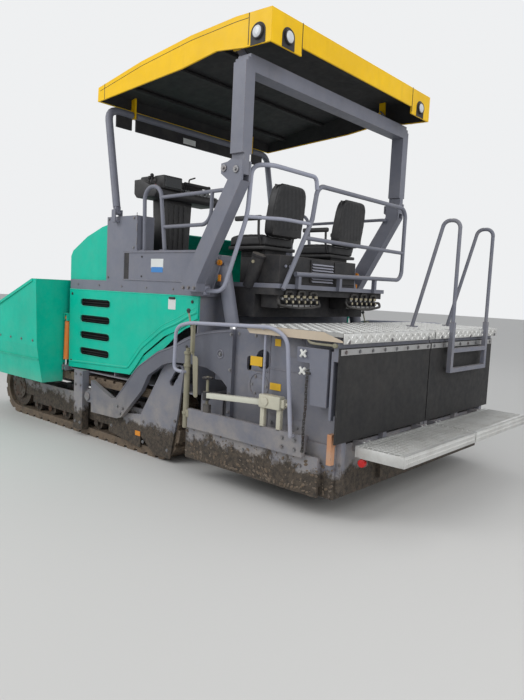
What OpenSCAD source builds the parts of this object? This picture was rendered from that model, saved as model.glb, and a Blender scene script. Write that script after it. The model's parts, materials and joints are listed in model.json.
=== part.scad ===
// Tracked asphalt paver with hopper, tow arms and extending screed.
// Millimetres. X forward to the hopper, Y to the machine's left, Z up from the ground.

/* [Tracks] */
// x of the rear drive sprocket
sprocket_x = -420; // [-440:5:-400]
// x of the front idler
idler_x = 2330; // [2310:5:2360]
// radius of a track loop over the shoe plates
track_r = 305; // [300:1:310]
// height of a grouser bar above its shoe
grouser_h = 25; // [20:1:30]
// thickness of the loop under the shoe faces
loop_t = 60; // [55:1:65]
// width of a track
track_w = 305; // [290:5:310]
// outer face of a track from the centre plane
track_out = 1200; // [1195:1:1202]
// shoes on the loop
shoe_count = 44; // [42:1:46]
// side plate thickness of a track frame
frame_plate = 24; // [18:1:28]
// radius of a track roller
roller_r = 75; // [70:1:80]
// rollers under a track frame
roller_count = 7; // [6:1:8]

/* [Chassis] */
// half width of the hull over its side walls
hull_half = 740; // [730:1:760]
// hull wall thickness
hull_t = 30; // [20:1:36]
// rear wall of the hull
hull_rear = -940; // [-945:1:-935]
// front wall of the hull
hull_front = 1140; // [1130:1:1142]
// underside of the hull
hull_bottom = 300; // [290:1:320]
// top of the side bays and foot of the grey band
band_bottom = 1600; // [1595:1:1605]
// top of the grey band
band_top = 1704; // [1700:1:1710]
// outer face of the grey band from the centre plane
band_half = 1215; // [1212:1:1218]
// rear end of the grey band
band_rear = -975; // [-985:1:-965]
// front end of the grey band
band_front = 1150; // [1140:1:1155]
// thickness of a mudguard plate over a track
guard_t = 12; // [8:1:16]
// height of a mudguard plate above the shoes
guard_gap = 40; // [30:1:45]

/* [Conveyors] */
// half width of the conveyor tunnel
tunnel_half = 620; // [600:5:640]
// height of the conveyor floor
floor_z = 560; // [550:5:570]
// thickness of the conveyor floor plate
floor_t = 16; // [12:1:20]
// front end of the conveyor floor
floor_front = 2830; // [2820:5:2840]
// height of the tunnel roof
tunnel_top = 950; // [940:5:960]
// spacing of the conveyor bars
slat_pitch = 260; // [240:10:280]
// height of a conveyor bar
slat_h = 40; // [30:1:45]

/* [Hopper] */
// rear face of the hopper wings
wing_rear = 1242; // [1240:1:1246]
// front end of the hopper wings
wing_front = 2960; // [2940:5:2980]
// wing plate thickness
wing_t = 10; // [8:1:12]
// hinge axis of a wing from the centre plane
wing_hinge_y = 720; // [716:1:724]
// height of a wing's hinge axis
wing_hinge_z = 740; // [736:1:746]
// radius of a wing's hinge tube
wing_hinge_r = 22; // [20:1:24]
// outer top edge of a wing from the centre plane
wing_out = 1580; // [1570:1:1590]
// height of a wing's top edge at its rear
wing_top = 1690; // [1680:5:1700]
// height of a wing's top edge at its front
wing_front_top = 1080; // [1060:5:1100]
// height of the fold in a wing's outer face
wing_fold_z = 950; // [940:5:960]
// height of a wing's lower edge
wing_low = 545; // [540:1:555]
// lower edge of a wing from the centre plane
wing_low_y = 1492; // [1480:1:1500]
// swing of a wing when it tips its load
wing_swing = 42; // [30:1:42]
// half width of the front apron
apron_half = 625; // [610:1:628]
// height of the front apron
apron_h = 300; // [260:5:320]
// x of the apron's hinge
apron_x = 2862; // [2858:1:2866]

/* [Push rollers] */
// x of the push roller axis
push_x = 2995; // [2994:1:2996]
// height of the push roller axis
push_z = 480; // [470:5:490]
// radius of a push roller
push_r = 80; // [75:1:80]
// length of a push roller
push_len = 560; // [540:5:580]
// bore of a push roller
push_bore = 24; // [22:1:26]

/* [Engine] */
// length of the engine block
engine_len = 1000; // [950:10:1050]
// width of the engine block
engine_w = 720; // [700:10:760]
// height of the engine block
engine_h = 720; // [700:10:720]
// front end of the hood
hood_front = 1190; // [1180:5:1200]
// rear end of the hood
hood_rear = 480; // [478:1:490]
// top of the hood at its rear
hood_top = 2285; // [2270:5:2300]
// height where the front slope of the hood starts
hood_low = 1960; // [1940:5:1980]
// half width of the hood
hood_half = 1190; // [1180:5:1200]
// sheet thickness of hood and lids
sheet_t = 10; // [8:1:12]

/* [Side doors] */
// outer face of a side door from the centre plane
door_out = 1222; // [1221:1:1224]
// front end of a side door
door_front = 1150; // [1140:1:1152]
// rear end of a side door
door_rear = -955; // [-960:1:-950]
// lower edge of a side door
door_low = 725; // [720:1:735]
// number of louvre slots
slot_count = 4; // [3:1:4]
// spacing of the louvre slots
slot_pitch = 177; // [170:1:180]
// height of a louvre slot
slot_h = 84; // [76:1:90]
// length of a louvre slot
slot_len = 500; // [460:10:520]
// x of the front end of the slots
slot_front = 905; // [895:1:915]

/* [Platform] */
// thickness of the platform floor
deck_t = 40; // [36:1:44]
// rear edge of the platform
deck_rear = -1600; // [-1610:5:-1590]
// half width of the rear platform
deck_rear_half = 880; // [860:5:890]
// top of the platform side boxes
side_box_top = 2010; // [2000:5:2020]
// width of a platform side box
side_box_w = 260; // [240:5:280]
// rear end of the air box
air_box_rear = -30; // [-40:1:-20]
// top of the air box
air_box_top = 2354; // [2340:1:2360]
// depth of the air box across the machine
air_box_w = 210; // [200:5:230]
// height of the seat cushion
seat_z = 2120; // [2100:5:2140]
// width of a seat
seat_w = 460; // [440:5:480]
// seat centre from the centre plane
seat_y = 520; // [510:5:540]
// x of the seat centre
seat_x = -1080; // [-1090:5:-1070]
// radius of the light railing tubes
rail_r = 19; // [17:0.5:21]

/* [Roof] */
// front end of the roof
roof_front = 545; // [540:1:550]
// rear end of the roof
roof_rear = -1757; // [-1760:1:-1750]
// half width of the roof
roof_half = 1314; // [1310:1:1318]
// top of the roof
roof_top = 3850; // [3840:5:3860]
// roof shell thickness
roof_t = 16; // [12:1:20]
// post centre plane from the machine's centre plane
post_y = 1270; // [1270:1:1272]
// depth of a rear post along the machine
post_d = 140; // [130:1:150]
// width of a rear post across the machine
post_w = 110; // [100:1:110]
// x of the knee pin
knee_x = -1458; // [-1464:1:-1452]
// height of the knee pin
knee_z = 2645; // [2640:1:2650]
// x step from a roof arm's lower pivot to its upper one
arm_dx = 200; // [195:1:205]
// height step from a roof arm's lower pivot to its upper one
arm_dz = 1050; // [1045:1:1055]
// x of the foot pin of the front roof post
front_foot_x = 290; // [285:1:295]
// height of the foot pin of the front roof post
front_foot_z = 2392; // [2390:1:2396]
// radius of the front roof post tube
front_tube_r = 24; // [22:1:26]
// front roof post from the centre plane
front_post_y = 1228; // [1224:1:1230]

/* [Tow arms] */
// x of the tow point
tow_x = 660; // [655:1:665]
// height of the tow point
tow_z = 460; // [455:1:465]
// radius of the tow pin
tow_pin_r = 30; // [28:1:32]
// inner face of a tow arm from the centre plane
arm_in = 1236; // [1234:1:1240]
// thickness of a tow arm
arm_t = 50; // [44:1:52]
// rear end of the tow arm plate
arm_rear = -1466; // [-1470:1:-1460]

/* [Auger] */
// x of the auger shaft
auger_x = -1205; // [-1210:1:-1200]
// height of the auger shaft
auger_z = 430; // [425:1:435]
// radius of the auger flight
auger_r = 200; // [195:1:200]
// radius of the auger shaft
auger_shaft_r = 38; // [34:1:42]
// pitch of the auger flight
auger_pitch = 340; // [320:10:360]
// auger flight thickness
flight_t = 14; // [10:1:16]

/* [Screed] */
// front face of the base screed
screed_front = -1480; // [-1485:1:-1475]
// rear face of the base screed
screed_rear = -2050; // [-2052:1:-2046]
// underside of the screed
screed_z = 170; // [165:1:180]
// height of the screed body above its sole
screed_h = 400; // [380:5:420]
// half width of the base screed
screed_half = 1225; // [1222:1:1226]
// clearance between base screed and extensions
screed_gap = 12; // [8:1:14]
// rear face of an extension screed
ext_rear = -2560; // [-2565:1:-2555]
// sheet thickness on the screed
screed_t = 20; // [16:1:24]
// centre gap between the two extensions
ext_gap = 16; // [12:1:20]
// outer end of an extension from the centre plane
ext_out = 1300; // [1296:1:1304]
// inner post of the ladder from the centre plane
ladder_y0 = -300; // [-310:5:-290]
// outer post of the ladder from the centre plane
ladder_y1 = -1060; // [-1080:5:-1040]
// lower end of the ladder
ladder_low = 1020; // [1010:5:1030]
// top of the ladder's hand hoops
hoop_top = 2380; // [2360:5:2400]
// foot of a hoop's front leg, from the ladder
hoop_reach = 420; // [400:10:440]
// radius of the telescopic guide tube
guide_r = 96; // [90:1:100]
// x of the telescopic guide tube
guide_x = -1781; // [-1786:1:-1776]
// height of the telescopic guide tube
guide_z = 915; // [910:1:920]
// outer face of the end gate from the centre plane
gate_out = 1388; // [1384:1:1392]
// top of the screed's upper walkway
walk_z = 1405; // [1400:1:1410]
// thickness of a walkway plate
walk_t = 28; // [24:1:30]
// front edge of the upper walkway
walk_front = -1690; // [-1695:1:-1685]
// rear edge of the upper walkway
walk_rear = -2640; // [-2645:1:-2636]
// outer end of the upper walkway
walk_out = 1400; // [1390:5:1405]

/* [Rear mats and step] */
// rubber mat thickness
mat_t = 12; // [10:1:14]
// upper edge of a mat
mat_top = 1296; // [1290:1:1300]
// lower edge of a mat
mat_low = 606; // [600:1:612]
// outer edge of a mat
mat_out = 1388; // [1380:1:1392]
// front edge of the lower step
step_front = -2676; // [-2680:1:-2672]
// rear edge of the lower step
step_rear = -3075; // [-3080:1:-3070]
// top of the lower step
step_z = 592; // [588:1:596]
// height of the lower step's frame
step_h = 88; // [80:1:92]
// outer end of the lower step
step_out = 1215; // [1205:5:1225]

/* [Cylinders] */
// lift cylinder barrel radius
lift_r = 63; // [58:1:66]
// lift cylinder rod radius
lift_rod_r = 32; // [28:1:36]
// x of the lift cylinder's top pin
lift_top_x = -1035; // [-1038:1:-1030]
// height of the lift cylinder's top pin
lift_top_z = 1930; // [1925:1:1935]
// lift cylinder from the centre plane
lift_y = 1010; // [1005:1:1015]
// x of the lift cylinder's rod pin
lift_low_x = -1282; // [-1286:1:-1278]
// height of the lift cylinder's rod pin
lift_low_z = 1000; // [995:1:1005]
// length of the lift cylinder's barrel below its top pin
lift_barrel = 590; // [580:5:600]
// wing cylinder barrel radius
wcyl_r = 32; // [30:1:33]
// wing cylinder rod radius
wcyl_rod_r = 17; // [15:1:19]
// wing cylinder axis along the machine
wcyl_x = 1192; // [1190:1:1194]
// upper pin of the wing cylinder from the centre plane
wcyl_top_y = 1215; // [1212:1:1218]
// height of the wing cylinder's upper pin
wcyl_top_z = 1270; // [1266:1:1274]
// lower pin of the wing cylinder from the centre plane
wcyl_low_y = 1232; // [1230:1:1236]
// height of the wing cylinder's lower pin
wcyl_low_z = 700; // [696:1:704]
// length of the wing cylinder's barrel below its upper pin
wcyl_barrel = 470; // [460:5:475]

/* [Hidden] */
$fn = 48;
e = 1;
green = [0.00, 0.62, 0.50];
grey = [0.33, 0.34, 0.38];
dark = [0.07, 0.07, 0.08];
steel = [0.35, 0.33, 0.31];
chrome = [0.75, 0.75, 0.77];
yellow = [0.95, 0.68, 0.02];
orange = [0.90, 0.42, 0.06];
rubber = [0.04, 0.04, 0.04];
alu = [0.68, 0.67, 0.64];
brown = [0.22, 0.17, 0.13];

track_top = 2 * track_r + 2 * grouser_h;
axle_z = track_r + grouser_h;
loop_in = track_r - loop_t;
track_in = track_out - track_w;
fr_in = track_in + 18;
fr_out = track_out - 18;
guard_z = track_top + guard_gap;
engine_x0 = 70;
knee_top_x = knee_x + arm_dx;
knee_top_z = knee_z + arm_dz;
front_top_x = front_foot_x + arm_dx;
front_top_z = front_foot_z + arm_dz;
deck_top = band_top + deck_t;
screed_top = screed_z + screed_h;
ext_front = screed_rear - screed_gap;
arm_out = arm_in + arm_t;
run_gap = 0.5;
beam_x = apron_x;
beam_half = push_len + 60;
tube_r = guide_r - 16;
lid_hinge_x = hood_front - 190;
lid_hinge_z = 2090;
elbow_lap = 5;
elbow_swell = 0.8;
hinge_x = step_front + 12;
eye_x = 2745;
eye_z = 424;
eye_r = 22;
beam_z = auger_z + auger_r + 24;
side_box_front = 190;

// Block from its limits on the three axes.
module block(x0, x1, y0, y1, z0, z1) {
  translate([min(x0, x1), min(y0, y1), min(z0, z1)])
    cube([abs(x1 - x0), abs(y1 - y0), abs(z1 - z0)]);
}

// Outline in the X-Z plane, carried across from y0 to y1.
module side_cut(y0, y1) {
  translate([0, max(y0, y1), 0]) rotate([90, 0, 0]) linear_extrude(abs(y1 - y0)) children();
}

// Outline in the Y-Z plane, carried along from x0 to x1.
module cross_cut(x0, x1) {
  translate([min(x0, x1), 0, 0]) rotate([90, 0, 90]) linear_extrude(abs(x1 - x0)) children();
}

// Round bar across the machine.
module bar_y(x, z, r, y0, y1) {
  translate([x, max(y0, y1), z]) rotate([90, 0, 0]) cylinder(h = abs(y1 - y0), r = r);
}

// Round bar along the machine.
module bar_x(y, z, r, x0, x1) {
  translate([min(x0, x1), y, z]) rotate([0, 90, 0]) cylinder(h = abs(x1 - x0), r = r);
}

// Round bar between two places.
module bar(a, b, r) {
  d = b - a;
  len = norm(d);
  translate(a) rotate([0, acos(d.z / len), atan2(d.y, d.x)]) cylinder(h = len, r = r);
}

function unit(v) = v / norm(v);

// Bent tube: straight runs between the stops, with an elbow of radius bend at each corner.
// An elbow is swelled a little over the runs, which end inside it.
module route(stops, r, bend) {
  last = len(stops) - 1;
  for (i = [0 : last - 1]) {
    u = unit(stops[i + 1] - stops[i]);
    trim_a = i == 0 ? 0 : elbow_trim(stops[i - 1], stops[i], stops[i + 1], bend);
    trim_b = i == last - 1 ? 0 : elbow_trim(stops[i], stops[i + 1], stops[i + 2], bend);
    bar(stops[i] + u * (trim_a - (i == 0 ? 0 : elbow_lap)),
        stops[i + 1] - u * (trim_b - (i == last - 1 ? 0 : elbow_lap)), r);
  }
  for (i = [1 : last - 1]) elbow(stops[i - 1], stops[i], stops[i + 1], r, bend);
}

function elbow_turn(a, b, c) = acos(unit(b - a) * unit(c - b));
function elbow_trim(a, b, c, bend) = bend * tan(elbow_turn(a, b, c) / 2);

module elbow(a, b, c, r, bend) {
  u = unit(b - a);
  v = unit(c - b);
  turn = elbow_turn(a, b, c);
  n = unit(cross(u, v));
  centre = b + unit(v - u) * bend / cos(turn / 2);
  x = unit(b - u * elbow_trim(a, b, c, bend) - centre);
  multmatrix([[x.x, u.x, n.x, centre.x], [x.y, u.y, n.y, centre.y],
              [x.z, u.z, n.z, centre.z], [0, 0, 0, 1]])
    rotate_extrude(angle = turn, $fn = 64) translate([bend, 0]) circle(r = r + elbow_swell, $fn = 32);
}

module both_sides() {
  children();
  mirror([0, 1, 0]) children();
}

/* Tracks */

module loop_outline() {
  difference() {
    union() {
      translate([sprocket_x, axle_z]) circle(r = track_r, $fn = 64);
      translate([idler_x, axle_z]) circle(r = track_r, $fn = 64);
      translate([sprocket_x, grouser_h]) square([idler_x - sprocket_x, 2 * track_r]);
      shoe_bars();
    }
    translate([sprocket_x, axle_z]) circle(r = loop_in, $fn = 64);
    translate([idler_x, axle_z]) circle(r = loop_in, $fn = 64);
    translate([sprocket_x, axle_z - loop_in]) square([idler_x - sprocket_x, 2 * loop_in]);
  }
}

// Grouser bars step evenly round the loop: bottom run, front arc, top run, rear arc.
module shoe_bars() {
  run = idler_x - sprocket_x;
  arc = PI * track_r;
  pitch = (2 * run + 2 * arc) / shoe_count;
  intersection() {
    union() for (i = [0 : shoe_count - 1]) {
      s = (i + 0.5) * pitch;
      if (s < run)
        translate([sprocket_x + s, 0]) bar_mark(pitch);
      else if (s < run + arc)
        translate([idler_x, axle_z]) rotate((s - run) / arc * 180)
          translate([0, -axle_z]) bar_mark(pitch);
      else if (s < 2 * run + arc)
        translate([idler_x - (s - run - arc), 2 * axle_z]) rotate(180) bar_mark(pitch);
      else
        translate([sprocket_x, axle_z]) rotate(180 + (s - 2 * run - arc) / arc * 180)
          translate([0, -axle_z]) bar_mark(pitch);
    }
    union() {
      for (x = [sprocket_x, idler_x]) translate([x, axle_z]) circle(r = axle_z, $fn = 64);
      translate([sprocket_x, 0]) square([run, 2 * axle_z]);
    }
  }
}

module bar_mark(pitch) {
  translate([-pitch * 0.36, 0]) square([pitch * 0.72, grouser_h + 12]);
}

module tracks() {
  color(brown) both_sides() side_cut(track_in, track_out) loop_outline();
}

module track_frames() {
  color(grey) both_sides() {
    difference() {
      union() {
        for (y = [fr_in, fr_out - frame_plate])
          side_cut(y, y + frame_plate) frame_outline();
        for (i = [0 : roller_count - 1])
          bar_y(roller_x(i), axle_z - loop_in + roller_r + run_gap, roller_r,
                fr_in + frame_plate, fr_out - frame_plate);
        for (x = [sprocket_x, idler_x])
          bar_y(x, axle_z, loop_in - run_gap, fr_in + frame_plate, fr_out - frame_plate);
        for (x = [200, 1650])
          block(x, x + 160, fr_in + frame_plate, fr_out - frame_plate, axle_z - 60, axle_z + 90);
        for (x = [120, 1550])
          block(x, x + 200, hull_half, fr_in, axle_z - 20, axle_z + 100);
      }
    }
  }
}

function roller_x(i) = sprocket_x + 420 + i * (idler_x - sprocket_x - 840) / (roller_count - 1);

module frame_outline() {
  square_from(sprocket_x - 110, idler_x + 110, axle_z - 70, axle_z + 110);
  square_from(sprocket_x + 330, idler_x - 330, axle_z - 150, axle_z);
}

module square_from(x0, x1, z0, z1) {
  translate([x0, z0]) square([x1 - x0, z1 - z0]);
}

/* Chassis */

module chassis_frame() {
  color(grey) hull_body();
}

module tow_columns() {
  color(grey) both_sides() {
    tow_column();
    deflector();
  }
}

module auger_drive() {
  color(grey) auger_gearbox();
}

module hopper_frame() {
  color(grey) {
    nose();
    both_sides() wing_cylinder_mount();
  }
}

module hull_body() {
  both_sides() {
    // side wall, with the slot that the conveyor tunnel needs left to the walls
    block(hull_rear, hull_front, hull_half - hull_t, hull_half, hull_bottom, band_bottom);
    // mudguard over the track
    block(hull_rear, hull_front, hull_half, band_half - 12, guard_z, guard_z + guard_t);
    // bulkheads closing the side bay
    for (x = [hull_rear, 300, hull_front - guard_t])
      block(x, x + guard_t, hull_half, door_out - sheet_t - 14, guard_z + guard_t, band_bottom);
  }
  // cross walls over the tunnel
  for (x = [hull_rear, hull_front - hull_t])
    block(x, x + hull_t, -hull_half + hull_t, hull_half - hull_t, tunnel_top, band_bottom);
  // tunnel roof
  block(hull_rear + hull_t, hull_front - hull_t, -hull_half + hull_t, hull_half - hull_t,
        tunnel_top, tunnel_top + hull_t);
  // belly plate
  block(hull_rear, hull_front, -hull_half + hull_t, hull_half - hull_t,
        hull_bottom, hull_bottom + hull_t);
  // cross wall under the conveyor at the front, which carries the hopper frame
  block(hull_front - hull_t, hull_front, -hull_half + hull_t, hull_half - hull_t,
        hull_bottom + hull_t, floor_z - floor_t);
}

// Column that guides the tow point, with its sliding block and pin.
module tow_column() {
  col_r = tow_x + 105;
  col_f = tow_x + 270;
  y0 = track_out + 5;
  block(col_r, col_f, y0, arm_out, 70, door_low - 6);
  block(tow_x - 60, col_r, y0, arm_in - 8, tow_z - 60, tow_z + 60);
  bar_y(tow_x, tow_z, tow_pin_r, y0, arm_out + 12);
  // head bracket back to the hull, over the track
  block(col_r + 20, col_f - 20, hull_half, y0, guard_z - 30, guard_z);
}

module deflector() {
  y0 = track_out + 5;
  // long plate beside the track and the end piece with its slot
  side_cut(y0, y0 + 20) {
    polygon([[tow_x - 310, 330], [-182, 400], [-182, 60], [tow_x - 310, 130]]);
    difference() {
      polygon([[-182, 400], [-500, 900], [-560, 955], [-790, 955], [-800, 900],
               [-740, 500], [-640, 40], [-400, 40], [-182, 190]]);
      for (t = [0, 0.5, 1])
        translate([-640 - 95 * t, 780 + 130 * t]) circle(r = 34);
      translate([-687, 845]) rotate(-54) square([160, 60], center = true);
    }
  }
  // stays to the hull's rear corner
  block(-800, -760, hull_half, y0, guard_z + guard_t, guard_z + guard_t + 60);
  block(-800, -760, y0 - 20, y0, guard_z + guard_t, 900);
}

// Chain case that drives both augers from the middle.
module auger_gearbox() {
  difference() {
    block(auger_x - 70, hull_rear, -42, 42, auger_z - 90, tunnel_top + 150);
    bar_y(auger_x, auger_z, auger_shaft_r + run_gap, -50, 50);
  }
  // auger beam and its outer bearing plates
  block(-1060, -1000, -1180, 1180, beam_z, beam_z + 70);
  both_sides() {
    block(-1000, hull_rear, hull_half - hull_t, hull_half, beam_z, beam_z + 70);
    difference() {
      block(auger_x - 70, -1000, 1160, 1180, auger_z - 70, beam_z + 70);
      bar_y(auger_x, auger_z, auger_shaft_r + run_gap, 1150, 1190);
    }
  }
}

// Lower pin lugs of the wing cylinder, on an outrigger from the hull over the track.
module wing_cylinder_mount() {
  block(hull_front, wing_rear - 6, hull_half, wcyl_low_y - 60, guard_z + guard_t,
        guard_z + 2 * guard_t);
  side_cut(wcyl_low_y - 94, wcyl_low_y - 82)
    polygon([[hull_front, guard_z + guard_t], [hull_front, guard_z + 110],
             [wing_rear - 60, guard_z + 2 * guard_t], [wing_rear - 60, guard_z + guard_t]]);
  for (x = [wcyl_x - 34, wcyl_x + 22])
    block(x, x + 12, wcyl_low_y - 82, wcyl_low_y + 30, wcyl_low_z - 24, wcyl_low_z + 40);
}

// Front of the frame under the hopper.
module nose() {
  lug_z = wing_hinge_z;
  both_sides() {
    difference() {
      block(hull_front, 2790, 600, 640, 380, floor_z - floor_t);
      bar_y(eye_x, eye_z, eye_r, 590, 650);
    }
    // side of the hopper trough, with the strip and pin of the wing hinge
    block(wing_rear - 16, 2830, 640, 655, floor_z - 100, lug_z - 30);
    block(wing_rear - 16, wing_front - 90, 640, wing_hinge_y, lug_z - 60, lug_z - 30);
    for (x = [wing_rear - 16, wing_front - 108])
      block(x, x + 18 - (x < 2000 ? 6 : 0), 655, wing_hinge_y + 14, lug_z - 60, lug_z + 20);
    bar_x(wing_hinge_y, wing_hinge_z, 9, wing_rear - 16, wing_front - 90);
    // apron lugs
    block(2820, apron_x + 18, apron_half + 4, 655, floor_z, floor_z + 66);
    // web to the back wall of the hopper
    block(hull_front, 1231, tunnel_half - 20, tunnel_half, tunnel_top, band_bottom);
    block(hull_front, wing_rear - 16, 640, 700, floor_z - 100, lug_z - 30);
  }
  bar_y(apron_x, floor_z + 50, 10, -apron_half - 10, apron_half + 10);
  block(2700, 2790, -600, 600, 380, floor_z - floor_t);
  block(hull_front, 1200, -600, 600, 380, floor_z - floor_t);
  // tongue and pin of the push roller beam
  block(2780, beam_x + 40, -45, 45, 380 - 44, 380 - 28);
  block(2740, 2780, -45, 45, 380 - 44, 380);
  bar_z(beam_x, 0, 24, 380 - 44, 530);
  // back wall of the hopper above the tunnel mouth
  block(1231, 1236, -tunnel_half - 40, tunnel_half + 40, tunnel_top, band_bottom);
}

/* Conveyors */

module conveyors() {
  color(steel) {
    block(hull_rear, floor_front, -600, 600, floor_z - floor_t, floor_z);
    for (side = [-1, 1]) {
      // tunnel side plate
      block(hull_rear, hull_front, side * 600, side * 612, floor_z - floor_t, tunnel_top - 20);
      for (y = [40, 560])
        block(hull_rear, floor_front - 20, side * y, side * (y + 24), floor_z, floor_z + 22);
      for (x = [hull_rear : slat_pitch : floor_front - 60])
        block(x, x + 30, side * 64, side * 560, floor_z, floor_z + slat_h);
    }
  }
}

/* Hopper */

module wing(side) {
  h_y = wing_hinge_y;
  h_z = wing_hinge_z;
  lift_off = wing_hinge_r - 2;
  color(green) mirror([0, side < 0 ? 1 : 0, 0]) difference() {
    union() {
      // floor plate, from the hinge outwards
      cross_cut(wing_rear, wing_front)
        polygon([[h_y, h_z + lift_off - wing_t], [wing_fold_y() - wing_t, h_z + 60],
                 [wing_fold_y() - wing_t, h_z + 60 + wing_t], [h_y, h_z + lift_off]]);
      // outer wall with its fold
      intersection() {
        cross_cut(wing_rear, wing_front) wall_outline();
        side_cut(1300, 1700) wing_side_outline();
      }
      // rim along the sloping top edge
      rim_wall();
      // rear wall
      cross_cut(wing_rear, wing_rear + wing_t)
        polygon([[h_y + 20, h_z + lift_off], [h_y + 230, wing_top], [wing_out, wing_top],
                 [wing_fold_y(), wing_fold_z], [wing_low_y, wing_low],
                 [track_out + 40, wing_low], [track_out + 40, h_z + 20]]);
      // hinge tube
      bar_x(h_y, h_z, wing_hinge_r, wing_rear + 8, wing_front - 110);
      // lugs for the wing cylinder
      for (x = [wcyl_x - 34, wcyl_x + 22])
        block(x, x + 12, wcyl_top_y - 34, wcyl_top_y + 34, wcyl_top_z - 34, wcyl_top_z + 40);
      block(wcyl_x - 34, wing_rear, wcyl_top_y - 34, wcyl_top_y + 34,
            wcyl_top_z + 40, wcyl_top_z + 52);
      bar_x(wcyl_top_y, wcyl_top_z, 12, wcyl_x - 34, wcyl_x + 34);
    }
    bar_x(h_y, h_z, 9 + run_gap, wing_rear, wing_front);
    // room for the front hinge lug
    bar_x(h_y, h_z, wing_hinge_r + 5, wing_front - 110, wing_front - 86);
  }
}

function wing_fold_y() = wing_out - 20;

module wall_outline() {
  polygon([[wing_out, wing_top + 20], [wing_fold_y(), wing_fold_z], [wing_low_y, wing_low],
           [wing_low_y - wing_t, wing_low], [wing_fold_y() - wing_t, wing_fold_z],
           [wing_out - wing_t, wing_top + 20]]);
}

module wing_side_outline() {
  polygon([[wing_rear, wing_low], [wing_rear, wing_top], [wing_rear + 80, wing_top],
           [wing_front, wing_front_top], [wing_front, wing_low]]);
}

module rim_wall() {
  slope = atan2(wing_top - wing_front_top, wing_front - wing_rear - 80);
  intersection() {
    side_cut(wing_out - 30, wing_out + 8)
      translate([wing_rear + 80, wing_top]) rotate(-slope) translate([0, -30]) square([2000, 30]);
    block(wing_rear, wing_front, 1000, 1700, 500, 2000);
  }
}

module wing_barrel(side) {
  color(orange) mirror([0, side < 0 ? 1 : 0, 0]) along_wing_cylinder() difference() {
    union() {
      translate([0, 0, 44]) cylinder(h = wcyl_barrel - 44, r = wcyl_r);
      rotate([0, 90, 0]) translate([0, 0, run_gap - 22]) cylinder(h = 44 - 2 * run_gap, r = 26);
      translate([-18, -16, 0]) cube([36, 32, 50]);
    }
    translate([0, 0, 60]) cylinder(h = wcyl_barrel, r = wcyl_rod_r + run_gap);
    rotate([0, 90, 0]) translate([0, 0, -40]) cylinder(h = 80, r = 12 + run_gap);
  }
}

module wing_rod(side) {
  len = norm([wcyl_top_y - wcyl_low_y, wcyl_top_z - wcyl_low_z]);
  color(chrome) mirror([0, side < 0 ? 1 : 0, 0]) along_wing_cylinder() {
    translate([0, 0, 62]) cylinder(h = len - 62 - 20, r = wcyl_rod_r);
    translate([0, 0, len]) rotate([0, 90, 0]) translate([0, 0, run_gap - 22]) cylinder(h = 44 - 2 * run_gap, r = 24);
  }
}

// Local Z runs from the wing cylinder's upper pin to its lower one.
module along_wing_cylinder() {
  tilt = atan2(wcyl_low_y - wcyl_top_y, wcyl_top_z - wcyl_low_z);
  translate([wcyl_x, wcyl_top_y, wcyl_top_z]) rotate([180 + tilt, 0, 0]) children();
}

module apron() {
  z0 = floor_z + 50;
  color(rubber) difference() {
    union() {
      block(apron_x - 6, apron_x + 6, -apron_half, apron_half, z0, z0 + apron_h);
      bar_y(apron_x, z0, 18, -apron_half, apron_half);
    }
    bar_y(apron_x, z0, 10 + run_gap, -apron_half - 5, apron_half + 5);
  }
}

/* Push rollers */

module roller_beam() {
  color(grey) {
    difference() {
      union() {
        block(beam_x, beam_x + 44, -beam_half, beam_half, 400, 520);
        bar_z(beam_x, 0, 44, 360, 540);
      }
      bar_z(beam_x, 0, 24 + run_gap, 300, 600);
    }
    for (y = [-beam_half, -20, beam_half - 20]) difference() {
      block(beam_x + 40, push_x + 45, y, y + (y == -20 ? 40 : 20), push_z - 60, push_z + 50);
      bar_y(push_x, push_z, 12, y - 50, y + 90);
    }
    bar_y(push_x, push_z, push_bore - run_gap, -beam_half, beam_half);
  }
}

module bar_z(x, y, r, z0, z1) {
  translate([x, y, z0]) cylinder(h = z1 - z0, r = r);
}

module push_roller(side) {
  color(steel) difference() {
    bar_y(push_x, push_z, push_r, side * 30, side * (30 + push_len));
    bar_y(push_x, push_z, push_bore, side * 20, side * (60 + push_len));
  }
}

/* Engine */

module engine_block() {
  color(dark)
    block(engine_x0, engine_x0 + engine_len, -engine_w / 2, engine_w / 2,
          tunnel_top + hull_t, tunnel_top + hull_t + engine_h);
}

module hood_outline() {
  polygon([[hood_rear, band_top], [hood_rear, hood_top], [hood_rear + 120, hood_top - 24],
           [hood_rear + 400, hood_top - 120], [hood_front - 40, hood_low + 60],
           [hood_front, hood_low], [hood_front, band_top]]);
}

module engine_cover() {
  color(green) difference() {
    side_cut(-hood_half, hood_half) hood_outline();
    side_cut(-hood_half + sheet_t, hood_half - sheet_t) translate([sheet_t, 0]) hollow_hood();
    block(hood_rear - 1, hood_front - 180, -hood_half + 120, hood_half - 120, 2000, 2400);
  }
  color(green) both_sides() {
    side_cut(door_out - sheet_t - 14, door_out - sheet_t - 4) skirt_outline();
    block(door_rear, 120, band_half - 12, door_out - sheet_t - 4, band_bottom - 40, band_bottom);
    block(door_rear, 120, door_out - sheet_t - 14, door_out - sheet_t - 4, 1440, band_bottom);
  }
}

module hollow_hood() {
  polygon([[hood_rear - 60, band_top - 1], [hood_rear - 60, hood_top - sheet_t],
           [hood_rear + 100, hood_top - 24 - sheet_t * 1.3],
           [hood_rear + 380, hood_top - 120 - sheet_t * 1.3], [hood_front - 64, hood_low + 46],
           [hood_front - 2 * sheet_t, hood_low], [hood_front - 2 * sheet_t, band_top - 1]]);
}

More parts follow.
